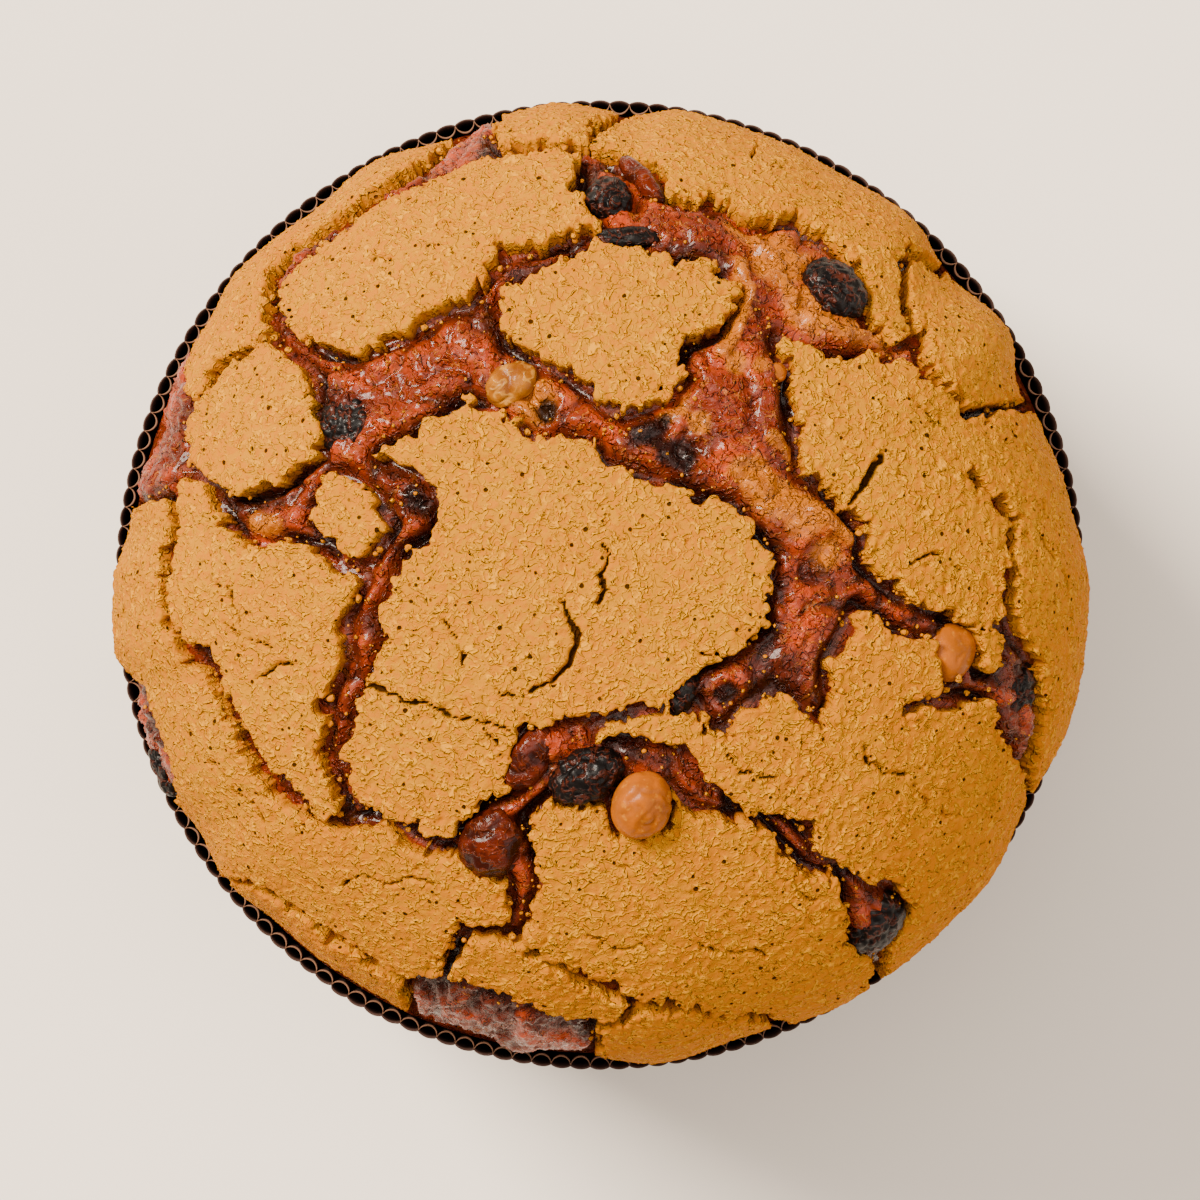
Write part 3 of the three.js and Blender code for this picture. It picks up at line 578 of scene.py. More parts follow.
def relief(tree, shader, layers):
    """Stacks layers of relief on a shader: each is a height, its depth in millimetres and a strength."""
    normal = None
    for height, depth_mm, strength in layers:
        links = {"Height": height}
        if normal:
            links["Normal"] = normal
        normal = add_node(tree, "ShaderNodeBump", "Normal", {
            "Distance": abs(depth_mm) * MM, "Strength": strength, "invert": depth_mm < 0}, links)
    tree.links.new(normal, shader.inputs["Normal"])


def sugar_glaze(colours):
    """Almond sugar glaze, brushed on and baked: matt, porous and finely crazed.

    The eye gets a dry golden skin with worm-like ridges, their crests lighter as painted highlight, dark
    pinholes where steam came through, painted as shade in the holes, and a toasted, crumbly broken edge
    whose painted shade darkens it towards the loaf. Hairline cracks are painted dark as shade, and the
    front, away from the light, is painted browner as shade. The photo's ridges are about 0.8 mm apart,
    and these about 1.2 mm. Pinholes are 0.4 to 0.5 mm across for the photo's 0.35 mm, and fewer. The
    sugar's grain, near 0.2 mm, wouldn't show, and is drawn at 0.45 mm.
    """
    material, tree, shader = new_material(
        "baked_sugar_glaze", Roughness=0.7, IOR=1.45, Specular_IOR_Level=0.03)
    glaze, toasted = colours.glaze, colours.glaze_toast_and_shade
    ridges, finer = worm_ridges(tree, 2.1, 0.075), worm_ridges(tree, 1.4, 0.075)
    holes, pores = pinholes(tree, 2.3, 0.5), pinholes(tree, 1.3, 0.34)
    half_baked = tuple(0.38 * brown + 0.62 * gold for brown, gold in zip(toasted, glaze))
    painted(tree, shader, half_baked, [
        (patches(tree, 15, 0.62, 0.36), 0.55, glaze),
        (patches(tree, 1.5, 0.54, 0.44), 0.72, toasted),
        # Toasting at the broken edge, the rim and in patches, with painted shade on the front, away from the
        # light
        (carried(tree, "toast_and_shade"), 0.85, toasted),
        # Painted highlight along the ridge crests
        (ridges, 0.75, colours.glaze_ridge_highlight),
        (finer, 0.6, colours.glaze_ridge_highlight),
        # Painted shade inside the pores and pinholes
        (pores, 0.65, colours.glaze_pinhole_shade),
        (holes, 0.95, colours.glaze_pinhole_shade),
        # Painted shade down the broken side: browner, then near black towards the loaf
        (carried(tree, "depth", 0.22, 0.6), 0.75, "#8e4804"),
        (carried(tree, "depth", 0.5, 0.9), 1.0, "#160602"),
        # Painted shade in the hairline and gaping cracks
        (carried(tree, "hairline_shade", 0.25, 0.75), 0.95, "#1c0902"),
    ])
    relief(tree, shader, [
        (ridges, 0.36, 1.0), (finer, 0.22, 0.9), (holes, -0.5, 1.0),
        (patches(tree, 0.45, 0.2, 0.8, 1.0), 0.06, 0.6)])
    return material


def mahogany_crust(colours):
    """Egg-rich crust, baked dark under syrup: glossy on its lobes, with painted shade near black in its
    crevices.

    The eye gets small wet highlights on stretched, wrinkled skin, a red-brown painted darker as shade in
    its crevices, folds and narrow fissures, and amber where syrup and dough ran thin. The pale wisps are
    fibres of crumb, drawn broader to show.
    """
    material, tree, shader = new_material(
        "syrup_glossed_crust", IOR=1.45, Specular_IOR_Level=0.18, Coat_Weight=0.15, Coat_Roughness=0.07)
    wrinkles, wisps = worm_ridges(tree, 2.0, 0.1), worm_ridges(tree, 1.7, 0.05)
    painted(tree, shader, colours.crust, [
        (patches(tree, 9, 0.57, 0.38, 4.0), 0.8, "#5a1e09"),
        (patches(tree, 3.0, 0.54, 0.74, 1.5), 0.4, "#ac4c0c"),
        (carried(tree, "ruddy"), 0.85, "#681f08"),
        (carried(tree, "golden"), 0.9, colours.crust_golden),
        (patches(tree, 2.2, 0.5, 0.36, 1.5), 0.4, "#5a1c06"),
        (wisps, 0.5, "#bc6c1c"),
        (carried(tree, "umber"), 0.8, "#38120a"),
        (carried(tree, "scorched"), 0.95, "#0a0504"),
        # Painted shade in the crevices, folds and narrow fissures, and on the loaf's sides in the case
        (carried(tree, "depth", 0.1, 1.05), 0.96, colours.crust_crevice_shade),
    ])
    tree.links.new(add_node(tree, "ShaderNodeMapRange", "Result", {"To Min": 0.16, "To Max": 0.48}, {
        "Value": patches(tree, 3, 0.3, 0.7)}), shader.inputs["Roughness"])
    relief(tree, shader, [
        (wrinkles, 0.6, 1.0), (wisps, 0.3, 0.9), (patches(tree, 0.9, 0.2, 0.8, 2.0, 0.4), 0.16, 0.8)])
    return material


def fruit_skin(name, base, dark, gloss, wrinkle_mm, wrinkle_depth, crest_tint_and_sheen, crest_tint_and_sheen_cover):
    """The skin of a dried or candied fruit: a base colour, darker patches, folds in painted shade, fine
    wrinkles, and lighter wrinkle crests, part own colour and part painted sheen.
    """
    material, tree, shader = new_material(
        name, Roughness=gloss, IOR=1.45, Specular_IOR_Level=0.15, Coat_Weight=0.07, Coat_Roughness=0.06)
    wrinkles = worm_ridges(tree, wrinkle_mm, 0.11)
    painted(tree, shader, base, [
        (patches(tree, wrinkle_mm * 2.4, 0.62, 0.38), 0.8, dark),
        # Painted shade in the folds
        (carried(tree, "fold_shade"), 0.95, dark),
        # Lighter wrinkle crests: part the skin's own colour, part painted sheen
        (wrinkles, crest_tint_and_sheen_cover, crest_tint_and_sheen),
    ])
    relief(tree, shader, [(wrinkles, wrinkle_depth, 0.8), (patches(tree, 0.4, 0.2, 0.8), 0.06, 0.5)])
    return material


def roast_nut(colours):
    """Roasted hazelnut: a smooth tan skin, lightly polished, with faint veins from tip to base, and painted
    shade in its wrinkles and its dimple.
    """
    material, tree, shader = new_material(
        "roasted_hazelnut_skin", Roughness=0.32, IOR=1.47, Specular_IOR_Level=0.16)
    painted(tree, shader, colours.hazelnut, [
        (patches(tree, 4, 0.6, 0.36), 0.5, "#7c4206"),
        # Darker veins, and painted shade in the wrinkles and the dimple
        (carried(tree, "veins_and_shade"), 0.4, "#6a3205"),
        (patches(tree, 1.2, 0.56, 0.7), 0.3, "#d08c28"),
    ])
    relief(tree, shader, [(patches(tree, 0.8, 0.2, 0.8), 0.08, 0.4)])
    return material


def baking_paper(colours):
    """Greaseproof baking paper, glued and fluted: matt dark brown with fine fibres, pale where cut.

    Real fibres are a few hundredths of a millimetre wide, and are drawn at 0.6 mm so that they show.
    """
    material, tree, shader = new_material("fluted_baking_paper", Roughness=0.72, IOR=1.5)
    fibre = patches(tree, 0.6, 0.25, 0.75, 4.0)
    painted(tree, shader, colours.paper, [
        (fibre, 0.5, tuple(min(1, c * 1.9) for c in colours.paper)),
        (patches(tree, 14, 0.5, 0.8), 0.35, "#140a06"),
        (carried(tree, "cut"), 1.0, colours.paper_edge),
    ])
    relief(tree, shader, [(fibre, 0.06, 0.5)])
    return material


def studio_floor(colours):
    """Matt painted board: an even pale floor that only takes the shadow."""
    material, tree, shader = new_material("matt_painted_board", Roughness=0.9, Specular_IOR_Level=0.2)
    painted(tree, shader, colours.floor, [
        (patches(tree, 60, 0.3, 0.7), 1.0, tuple(c * 0.985 for c in colours.floor))])
    return material


# The glaze's outlines are read once, because the crust follows them too
OUTLINES = {node: glaze_outlines(node) for node in GLAZE_NODES}


def glaze_depth(flat, reach):
    """How far each point is inside the nearest glaze, and up to reach outside it, below 0."""
    depth = np.full(len(flat), -reach)
    for loops in OUTLINES.values():
        corners = np.concatenate(loops)
        near = ((flat > corners.min(0) - reach) & (flat < corners.max(0) + reach)).all(axis=1)
        depth[near] = np.maximum(depth[near], depth_inside(flat[near], loops))
    return depth


def ragged(flat):
    """How far the glaze's broken edge stands out: round lobes with sharp notches between them."""
    lobes = 1.3 * np.abs(noise(flat, 3.2, 3)) + 1.4 * np.abs(noise(flat, 1.5, 4)) - 0.85
    bays = smooth(0.3, 0.6, noise(flat, 3.4, 6)) + 0.6 * smooth(0.35, 0.6, noise(flat, 1.9, 7))
    return 0.5 * noise(flat, 5, 2) + lobes + 0.3 * noise(flat, 0.8, 5) - 1.3 * bays


class PANETTONE_OT_glaze(bpy.types.Operator):
    """Make the plates of baked glaze over the dome"""
    bl_idname = "panettone.glaze"
    bl_label = "Glaze"

    def plate(self, node, sizes, material):
        """One plate: a crazed face, a rounded lip and a crumbly side down into the fissure."""
        loops = OUTLINES[node]
        corners = np.concatenate(loops)
        low, high = corners.min(0) - EDGE_MARGIN, corners.max(0) + EDGE_MARGIN
        wander = sizes.ragged_depth / MM

        def field(flat):
            depth = np.full(len(flat), -9.0)
            to_rim = ARC[-1] - distance(flat)
            dome = to_rim > 0
            depth[dome] = depth_inside(flat[dome], loops) + wander * ragged(flat[dome])
            return np.minimum(depth, to_rim * 0.98)

        flat, depth, faces, edges = clipped_grid(low, high, sizes.glaze_step / MM, field)
        edges = [loop for loop in edges if len(loop) > SHORTEST_LOOP]
        lip = sizes.lip_radius / MM
        drop = lip * (1 - np.sqrt(1 - (1 - np.clip(depth / lip, 0, 1)) ** 2))
        swell = 0.2 * noise(flat, 15, 8) + 0.13 * noise(flat, 5.5, 9) + 0.09 * noise(flat, 2.3, 10)
        wrinkles = 0.2 * creases(flat, 1.8, 0.32, 11) + 0.12 * creases(flat, 1.2, 0.24, 13)
        near_edge = np.exp(-np.clip(depth, 0, 50) / 2.2)
        knobs = near_edge * (0.6 * np.abs(noise(flat, 1.8, 15)) + 0.5 * np.abs(noise(flat, 1.0, 16)) - 0.3)
        lines = [from_plan(line) for line in HAIRLINES]
        shaken = flat + 0.8 * drift(flat, 2.2, 17) + 0.45 * drift(flat, 0.9, 27)
        # The cracks are cut into the face, and are also carried to the shader, which paints them dark as
        # shade
        crack = np.clip(1.4 - distance_to_lines(shaken, lines) / 0.24, 0, 1)
        crack *= smooth(-0.35, 0.0, noise(flat, 2.0, 19))
        gaping = distance_to_lines(shaken, [from_plan(line) for line in GAPING])
        width = 0.3 + 0.35 * smooth(-0.4, 0.6, noise(flat, 5, 29))
        crack = np.maximum(crack, np.clip(1.5 - gaping / width, 0, 1))
        bubbles = smooth(0.72, 0.9, noise(flat, 1.6, 24))
        offset = swell + wrinkles + knobs - drop - 1.3 * crack - 0.4 * bubbles
        # The oven browned the rim more than the top, and the front is painted browner still as painted shade,
        # on the side away from the light at the back left
        far = smooth(0.62, 1, distance(flat) / ARC[-1])
        shaded_front = smooth(-0.1, 1.0, (0.35 * flat[:, 0] - flat[:, 1]) / ARC[-1] * 1.3)
        toast_and_shade = 0.3 * near_edge + 0.35 * smooth(0.1, 0.7, noise(flat, 9, 22)) + 0.3 * far + 0.5 * shaded_front
        toast_and_shade = np.clip(toast_and_shade, 0, 1)
        points, deep = [on_dome(flat, offset)], [np.zeros(len(flat))]
        toast_and_shade_values, cracks, quads = [toast_and_shade], [crack], [faces]
        count, bottoms = len(flat), []
        full = sizes.glaze_thickness / MM + sizes.crevice_depth / MM - 0.4
        for loop in edges:
            ring = flat[loop]
            tangent = np.roll(ring, -3, axis=0) - np.roll(ring, 3, axis=0)
            normal = np.stack([tangent[:, 1], -tangent[:, 0]], axis=1)
            normal /= np.linalg.norm(normal, axis=1)[:, None] + 1e-9
            above = np.asarray(loop)
            start = offset[loop]
            for level in SIDE_LEVELS:
                crumb = np.column_stack([ring, np.full(len(ring), level * full)])
                out = 0.9 * np.abs(noise(crumb, 1.3, 25)) + 0.12 * noise(crumb, 0.7, 26) - 0.3 - 0.5 * level
                side = ring + normal * (out * min(1, level * 3))[:, None]
                points.append(on_dome(side, start + (-full - start) * level))
                # The level down the broken side is carried as depth, which paints the side's shade
                deep.append(np.full(len(ring), level))
                toast_and_shade_values.append(np.full(len(ring), 0.45))
                cracks.append(np.zeros(len(ring)))
                here = count + np.arange(len(ring))
                quads.append(band(above, here))
                above = here
                count += len(ring)
            bottoms.append((above, side))
        closing = tessellate_polygon([[(*p, 0) for p in side] for _, side in bottoms])
        names = np.concatenate([ring for ring, _ in bottoms])
        if len(closing):
            quads.append(names[np.array(closing)][:, ::-1])
        new_piece(f"{node}_plate", np.concatenate(points), quads, material, [node], {
            "depth": np.concatenate(deep), "toast_and_shade": np.concatenate(toast_and_shade_values),
            "hairline_shade": np.concatenate(cracks)})

    def execute(self, context):
        sizes = context.scene.panettone_sizes
        material = sugar_glaze(context.scene.panettone_colours)
        for node in GLAZE_NODES:
            self.plate(node, sizes, material)
        return {"FINISHED"}


def crust_offset(flat, sizes):
    """The crust's relief: its offset from the dome's face, its depth of painted shade and its coloured spots.
    """
    outside = -glaze_depth(flat, 9.0)
    thick = sizes.glaze_thickness / MM
    opened = smooth(0.3, 3.4, outside)
    steep = 0.2 + 0.8 * smooth(-0.2, 0.45, noise(flat, 8, 40))
    crevice = np.exp(-((outside - 0.55) / 0.85) ** 2) * steep
    lobes = 0.78 + 0.4 * noise(flat, 9, 41) + 0.22 * noise(flat, 4.5, 42)
    along = np.column_stack([outside * 1.5, flat * 0.16])
    stretched = 1 - np.abs(noise(along, 1.0, 43))
    cords = (1 - np.abs(noise(np.column_stack([outside * 0.5, flat * 0.9]), 1.0, 55))) ** 3
    folds = creases(flat, 6.0, 1.1, 44)
    fine = creases(flat, 2.4, 0.45, 46)
    scorched, golden, umber = spots(flat, SCORCHED), spots(flat, GOLDEN), spots(flat, UMBER)
    ruddy = spots(flat, RUDDY)
    rise = opened * (thick * 0.95 * lobes + 0.5 * stretched + 0.45 * cords - 1.3 * folds - 0.45 * fine)
    rise += opened * scorched * (1.3 * noise(flat, 2.6, 48) + 0.7 * noise(flat, 1.3, 49) - 0.8)
    rise += opened * golden * 0.7 * noise(flat, 5, 50)
    rise += opened * umber * (0.7 * noise(flat, 2.2, 53) - 0.8 * creases(flat, 2.6, 0.6, 54))
    bent = flat + 0.7 * drift(flat, 3, 57)
    away = distance_to_lines(bent, [from_plan(line) for line in STRANDS])
    strand = smooth(0, 0.9, outside) * np.sqrt(np.clip(1 - (away / 1.7) ** 2, 0, 1))
    rise += 1.5 * strand * (0.85 + 0.3 * noise(flat, 3.5, 59))
    offset = -thick - 0.5 - sizes.crevice_depth / MM * 0.8 * crevice + rise
    offset += 0.12 * noise(flat, 1.2, 47) * opened
    # Painted shade, carried as depth: near black in crevices, darker in folds and in narrow fissures by the
    # glaze, less on golden crust and strands
    shade = 1 - smooth(1.0, 5.0, outside + 0.8 * noise(flat, 4, 56))
    depth = np.clip(0.85 * crevice + 0.6 * opened * folds + 0.6 * shade, 0, 1)
    depth *= 1 - np.maximum(0.55 * golden, 0.85 * strand)
    golden = np.maximum(golden * opened, strand)
    return offset, depth, {"golden": golden, "scorched": scorched * opened, "umber": umber, "ruddy": ruddy}


class PANETTONE_OT_loaf(bpy.types.Operator):
    """Make the loaf with its wrinkled, glossy crust"""
    bl_idname = "panettone.loaf"
    bl_label = "Loaf"

    def execute(self, context):
        sizes = context.scene.panettone_sizes
        reach = ARC[-1]

        def field(flat):
            return reach - distance(flat)

        low, high = np.full(2, -reach - 1.0), np.full(2, reach + 1.0)
        flat, _, faces, loops = clipped_grid(low, high, sizes.crust_step / MM, field)
        offset, depth, tints = crust_offset(flat, sizes)
        points = on_dome(flat, offset)
        inner = CASE_RADIUS - CASE_WALL - 0.3
        rim = max(loops, key=len)
        tucked = np.minimum(1, (inner + 0.8) / distance(points))
        over = np.where(points[:, 2] < CASE_HEIGHT + 2.0, tucked, 1)
        points[:, :2] *= over[:, None]
        angle = bearing(points[rim])
        above, quads, parts, count = rim, [], [points], len(points)
        for level in (CASE_HEIGHT - 1.0, CASE_HEIGHT - 8.0, CASE_HEIGHT * 0.5, CASE_FLOOR + 3.0, CASE_FLOOR):
            height = np.full(len(rim), level)
            dent = 0.2 * (noise(placed(9, angle, height), 1.5, 52) + 1)
            radius = inner - (1.6 if level == CASE_FLOOR else 0) - dent
            parts.append(placed(radius, angle, height))
            here = count + np.arange(len(rim))
            quads.append(band(above, here))
            above = here
            count += len(rim)
        points = np.concatenate(parts)
        closing = capped(points, above)[:, ::-1]
        spare = count - len(flat)
        # The loaf's sides down in the case carry a painted shade of 0.6
        new_piece(
            "loaf_crust", points, [faces, closing, *quads],
            mahogany_crust(context.scene.panettone_colours), ["loaf"],
            {"depth": np.concatenate([depth, np.full(spare, 0.6)]),
             **{key: np.concatenate([tint, np.zeros(spare)]) for key, tint in tints.items()}})
        return {"FINISHED"}


def ball(level):
    """Points and triangles of a unit ball, from an icosahedron split level times."""
    golden_ratio = (1 + 5 ** 0.5) / 2
    points = np.array([(-1, golden_ratio, 0), (1, golden_ratio, 0), (-1, -golden_ratio, 0),
                       (1, -golden_ratio, 0), (0, -1, golden_ratio), (0, 1, golden_ratio),
                       (0, -1, -golden_ratio), (0, 1, -golden_ratio), (golden_ratio, 0, -1),
                       (golden_ratio, 0, 1), (-golden_ratio, 0, -1), (-golden_ratio, 0, 1)])
    faces = np.array([(0, 11, 5), (0, 5, 1), (0, 1, 7), (0, 7, 10), (0, 10, 11), (1, 5, 9), (5, 11, 4),
                      (11, 10, 2), (10, 7, 6), (7, 1, 8), (3, 9, 4), (3, 4, 2), (3, 2, 6), (3, 6, 8),
                      (3, 8, 9), (4, 9, 5), (2, 4, 11), (6, 2, 10), (8, 6, 7), (9, 8, 1)])
    for _ in range(level):
        sides = np.sort(np.concatenate([faces[:, [0, 1]], faces[:, [1, 2]], faces[:, [2, 0]]]), axis=1)
        keys, place = np.unique(sides, axis=0, return_inverse=True)
        ab, bc, ca = np.split(place.ravel() + len(points), 3)
        points = np.concatenate([points, points[keys].mean(axis=1)])
        a, b, c = faces.T
        faces = np.concatenate([np.stack(t, axis=1) for t in
                                ((a, ab, ca), (b, bc, ab), (c, ca, bc), (ab, bc, ca))])
    return points / np.linalg.norm(points, axis=1)[:, None], faces


# How often a fruit's ball is split, and the raisins that show too little to need the last split
BALL_LEVEL = 4
BARELY_SEEN = ("raisin_gap", "raisin_top_long")


def fitted_axes(node):
    """The middle, axes and half sizes of the rounded solid that a node holds."""
    mesh = bpy.data.objects[node].data
    points = np.empty(len(mesh.vertices) * 3)
    mesh.vertices.foreach_get("co", points)
    points = np.unique(np.round(points.reshape(-1, 3) / MM, 4), axis=0)
    middle = (points.max(0) + points.min(0)) / 2
    _, _, axes = np.linalg.svd(points - points.mean(0), full_matrices=False)
    axes[2] = np.cross(axes[0], axes[1])
    along = (points - middle) @ axes.T
    middle = middle + ((along.max(0) + along.min(0)) / 2) @ axes
    return middle, axes, (along.max(0) - along.min(0)) / 2


def rounded_pieces(starts, ending, surface, material, key):
    """Fruits or nuts over the nodes whose names start so; surface gives their relief and its colour."""
    for node in sorted(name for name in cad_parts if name.startswith(starts)):
        middle, axes, half = fitted_axes(node)
        unit, faces = ball(BALL_LEVEL - (node in BARELY_SEEN))
        swell, value = surface(unit, half, sum(map(ord, node)) % 97)
        points = unit * (half - 0.12) + unit * swell[:, None]
        new_piece(f"{node}_{ending}", points @ axes + middle, faces, material, [node], {key: value})


def raisin_relief(unit, half, seed):
    """Deep soft folds between plump ridges, as a grape has once it dries."""
    spread = unit * half
    folds = creases(spread, 2.6, 0.6, seed)
    small = creases(spread, 1.5, 0.35, seed + 5)
    swell = 0.12 + 0.2 * noise(spread, 4.5, seed + 9) - 0.6 * folds ** 1.5 - 0.3 * small
    # The second value marks the folds and creases for painted shade
    return swell, np.clip(folds * 0.8 + small * 0.3, 0, 1)


def candied_relief(unit, half, seed):
    """Soft lumps and shallow folds under syrup."""
    spread = unit * half
    folds = creases(spread, 4.2, 0.9, seed)
    swell = 0.05 + 0.5 * noise(spread, 4.5, seed + 2) + 0.2 * noise(spread, 1.8, seed + 3) - 0.5 * folds
    # The second value marks the folds for painted shade
    return swell, np.clip(folds * 0.7, 0, 1)


def nut_relief(unit, half, seed):
    """A smooth skin, faintly ribbed, over a kernel with a flat side, a dimple and shallow wrinkles."""
    around = np.arctan2(unit[:, 1], unit[:, 2])
    ribs = np.abs(np.sin(around * 11 + 1.3 * noise(unit * half, 5, seed)))
    tip = smooth(0.75, 1.0, unit[:, 0])
    hollow = np.exp(-(np.linalg.norm(unit - (0.45, -0.3, 0.84), axis=1) / 0.3) ** 2)
    wrinkles = creases(unit * half, 3.6, 0.55, seed + 3) * smooth(-0.2, 0.6, noise(unit, 0.9, seed + 4))
    swell = 0.03 * ribs + 0.25 * tip + 0.55 * noise(unit * half, 7, seed + 1) - 0.5 * hollow
    swell -= 0.3 * wrinkles + 0.25
    # The second value: darker veins between the ribs, and painted shade in the wrinkles and the dimple
    return swell, np.clip(0.4 * np.clip(1 - ribs * 3, 0, 1) + 0.8 * wrinkles + 0.3 * hollow, 0, 1)


class PANETTONE_OT_raisins(bpy.types.Operator):
    """Make the raisins that show in the fissures"""
    bl_idname = "panettone.raisins"
    bl_label = "Raisins"

    def execute(self, context):
        colours = context.scene.panettone_colours
        # Sun-dried grape skin: near black, half glossy, with red-brown along its wrinkle crests that is part
        # its own colour and part painted sheen, and painted shade in its folds
        skin = fruit_skin("dried_raisin_skin", colours.raisin, "#060404", 0.4, 1.6, 0.3, "#4c1e0e", 0.7)
        rounded_pieces("raisin", "skin", raisin_relief, skin, "fold_shade")
        return {"FINISHED"}


class PANETTONE_OT_candied_fruit(bpy.types.Operator):
    """Make the candied cherry, citron and dried fruit"""
    bl_idname = "panettone.candied_fruit"
    bl_label = "Candied Fruit"

    def execute(self, context):
        colours = context.scene.panettone_colours
        # Candied red fruit: translucent syrup over dark red flesh gives deep, wet highlights
        red = fruit_skin("candied_red_fruit", colours.red_fruit, "#1a0603", 0.24, 1.6, 0.25, "#6c2a05", 0.4)
        # Candied citron: amber, smooth and sticky
        peel = fruit_skin("candied_citron", colours.citron, "#6e380a", 0.28, 2.2, 0.12, "#c8913a", 0.45)
        rounded_pieces(("cherry", "dried", "apricot"), "flesh", candied_relief, red, "fold_shade")
        rounded_pieces("citron", "peel", candied_relief, peel, "fold_shade")
        return {"FINISHED"}


class PANETTONE_OT_nuts(bpy.types.Operator):
    """Make the roasted hazelnuts"""
    bl_idname = "panettone.nuts"
    bl_label = "Hazelnuts"

    def execute(self, context):
        skin = roast_nut(context.scene.panettone_colours)
        rounded_pieces(("hazelnut", "nut"), "kernel", nut_relief, skin, "veins_and_shade")
        return {"FINISHED"}


class PANETTONE_OT_crumbs(bpy.types.Operator):
    """Scatter the crumbs of glaze that broke off into the fissures"""
    bl_idname = "panettone.crumbs"
    bl_label = "Crumbs"

    def execute(self, context):
        sizes = context.scene.panettone_sizes
        random = np.random.default_rng(7)
        reach = ARC[-1] * CRUMB_REACH
        tries = random.uniform(-reach, reach, (sizes.crumb_count * 40, 2))
        tries = tries[distance(tries) < reach]
        outside = -glaze_depth(tries, 6.0)
        ledge = tries[(outside > 0) & (outside < LEDGE_WIDTH)][:sizes.crumb_count * 5 // 9]
        loose = tries[(outside > LEDGE_WIDTH) & (outside < LOOSE_WIDTH)][:sizes.crumb_count - len(ledge)]
        chosen = np.concatenate([ledge, loose])
        offset = crust_offset(chosen, sizes)[0]
        offset[:len(ledge)] = np.maximum(offset[:len(ledge)], -random.uniform(1.0, 3.0, len(ledge)))
        unit, faces = ball(1)
        points, triangles = [], []
        for number, (place, lift) in enumerate(zip(chosen, offset)):
            large = 0.65 if number < len(ledge) else 0.3
            radius = 0.15 + large * random.uniform(0, 1) ** 2 * random.uniform(0.6, 1, 3)
            lump = unit * radius * (1 + 0.35 * noise(unit * 2, 1.0, 60 + number))[:, None]
            centre = on_dome(place[None], np.array([lift + radius.min() * 0.6]))[0]
            points.append(lump + centre)
            triangles.append(faces + number * len(unit))
        new_piece("glaze_crumbs", np.concatenate(points), triangles,
                  bpy.data.materials["baked_sugar_glaze"],
                  values={"depth": 0.12, "toast_and_shade": 0.6, "hairline_shade": 0})
        return {"FINISHED"}


class PANETTONE_OT_case(bpy.types.Operator):
    """Make the fluted paper case"""
    bl_idname = "panettone.case"
    bl_label = "Paper Case"

    def execute(self, context):
        sizes = context.scene.panettone_sizes
        flutes = sizes.flute_count
        angle = np.linspace(0, 2 * math.pi, flutes * POINTS_PER_FLUTE, endpoint=False)
        degrees = np.degrees(angle)
        round_case = placed(60, angle)
        loop = np.abs(np.sin(angle * flutes / 2))
        lap = smooth(LAP_START, LAP_START + 0.4, degrees) * (1 - smooth(LAP_THINS, LAP_END, degrees))
        outer = CASE_RADIUS - 0.5 * (1 - loop ** 0.7) + 0.3 * lap
        liner = outer - SHEET
        deep = sizes.flute_depth / MM * (0.95 + 0.15 * noise(round_case, 4, 71))
        flute = CASE_RADIUS - 0.75 - (deep - 0.2) * loop ** 0.55
        inner, facing = flute - SHEET / 2, flute + SHEET / 2
        top = CASE_HEIGHT - 0.25 + 0.14 * noise(round_case, 22, 72)
        # Rings of paper, each a radius, a height and how much of the pale cut edge it shows
        wall = [(liner, CASE_HEIGHT - 12, 0), (liner, top, 0.15), (outer, top, 0.15), (outer, top - 0.35, 0),
                (outer, CASE_HEIGHT - 4, 0), (outer, CASE_HEIGHT * 0.6, 0), (outer, CASE_HEIGHT * 0.3, 0),
                (outer, 2.5, 0), (outer, 0.6, 0), (outer - 0.5, 0.12, 0), (outer - 1.6, 0, 0), (6, 0, 0)]
        fluting = [(inner, CASE_HEIGHT - 14, 0), (inner, CASE_HEIGHT - 0.9, 0), (inner, top + 0.1, 0.8),
                   (facing, top + 0.1, 0.8), (facing, CASE_HEIGHT - 0.9, 0), (facing, CASE_HEIGHT - 14, 0)]
        points = np.concatenate([placed(radius, angle, np.broadcast_to(height, angle.shape))
                                 for radius, height, _ in wall + fluting])
        rings = np.arange(len(points)).reshape(-1, len(angle))
        wall_rings, flute_rings = rings[:len(wall)], rings[len(wall):]
        quads = [band(upper, lower) for rows in (wall_rings, flute_rings)
                 for upper, lower in zip(rows, rows[1:])]
        quads += [capped(points, wall_rings[-1]), band(flute_rings[-1], flute_rings[0])]
        new_piece("fluted_paper_case", points, quads, baking_paper(context.scene.panettone_colours),
                  ["paper_case"],
                  {"cut": np.repeat([cut for _, _, cut in wall + fluting], len(angle))})
        return {"FINISHED"}


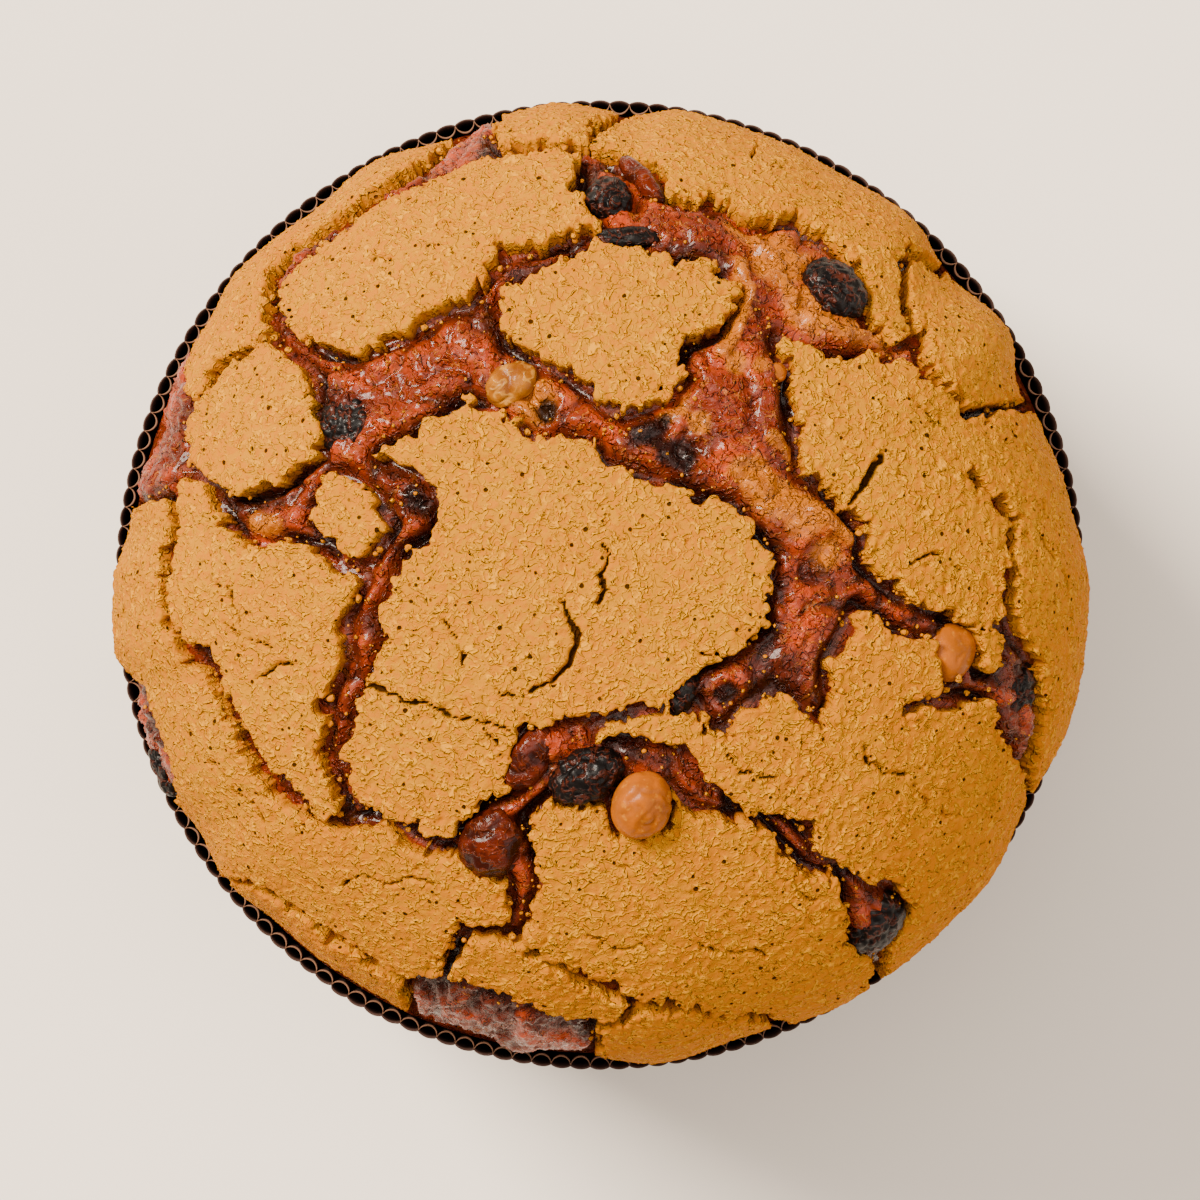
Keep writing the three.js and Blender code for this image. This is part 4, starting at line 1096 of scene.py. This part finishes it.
class PANETTONE_OT_stage(bpy.types.Operator):
    """Set the floor, the soft studio lights and the camera above the dome"""
    bl_idname = "panettone.stage"
    bl_label = "Stage"

    def light(self, name, place, size, power, tint):
        """A soft square light that faces the loaf."""
        data = bpy.data.lights.new(name, "AREA")
        data.size, data.energy, data.color = size, power, linear(tint)
        lamp = bpy.data.objects.new(name, data)
        bpy.context.collection.objects.link(lamp)
        lamp.location = place
        aim = lamp.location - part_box("loaf")[1].lerp(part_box("loaf")[0], 0.5)
        lamp.rotation_euler = aim.to_track_quat("Z", "Y").to_euler()

    def execute(self, context):
        sizes, colours = context.scene.panettone_sizes, context.scene.panettone_colours
        half = FLOOR_HALF * MM
        mesh = bpy.data.meshes.new("studio_floor")
        mesh.from_pydata([(-half, -half, 0), (half, -half, 0), (half, half, 0), (-half, half, 0)],
                         [], [(0, 1, 2, 3)])
        mesh.materials.append(studio_floor(colours))
        floor = bpy.data.objects.new("studio_floor", mesh)
        context.collection.objects.link(floor)
        for light in LIGHTS:
            self.light(*light)
        world = bpy.data.worlds.new("pale_studio")
        context.scene.world = world
        world.use_nodes = True
        background = world.node_tree.nodes["Background"]
        background.inputs["Color"].default_value = (*linear(WORLD_TINT), 1)
        background.inputs["Strength"].default_value = WORLD_STRENGTH
        data = bpy.data.cameras.new("camera")
        data.lens = data.sensor_width * sizes.camera_height / sizes.view_width
        data.shift_y = CAMERA_SHIFT
        data.clip_start, data.clip_end = 0.01, 20
        camera = bpy.data.objects.new("camera", data)
        camera.location = (0, 0, CASE_HEIGHT * MM + sizes.camera_height)
        context.collection.objects.link(camera)
        context.scene.camera = camera
        return {"FINISHED"}


STEPS = ("case", "loaf", "glaze", "crumbs", "raisins", "candied_fruit", "nuts", "stage")


class PANETTONE_PT_panel(bpy.types.Panel):
    """Lists the steps and the sizes they use"""
    bl_idname = "PANETTONE_PT_panel"
    bl_label = "Panettone"
    bl_space_type = "VIEW_3D"
    bl_region_type = "UI"
    bl_category = "Panettone"

    def draw(self, context):
        for step in STEPS:
            self.layout.operator(f"panettone.{step}")
        for group in (context.scene.panettone_sizes, context.scene.panettone_colours):
            for name in group.__annotations__:
                self.layout.prop(group, name)


CLASSES = (PanettoneSizes, PanettoneColours, PANETTONE_OT_case, PANETTONE_OT_loaf, PANETTONE_OT_glaze,
           PANETTONE_OT_crumbs, PANETTONE_OT_raisins, PANETTONE_OT_candied_fruit, PANETTONE_OT_nuts,
           PANETTONE_OT_stage, PANETTONE_PT_panel)


def register():
    """Registers every class and hangs the sizes and colours on the scene."""
    for cls in CLASSES:
        bpy.utils.register_class(cls)
    bpy.types.Scene.panettone_sizes = PointerProperty(type=PanettoneSizes)
    bpy.types.Scene.panettone_colours = PointerProperty(type=PanettoneColours)


def unregister():
    """Takes everything back off."""
    del bpy.types.Scene.panettone_colours
    del bpy.types.Scene.panettone_sizes
    for cls in reversed(CLASSES):
        bpy.utils.unregister_class(cls)


def main():
    """Builds the panettone step by step."""
    register()
    for step in STEPS:
        getattr(bpy.ops.panettone, step)()


if __name__ == "__main__":
    main()
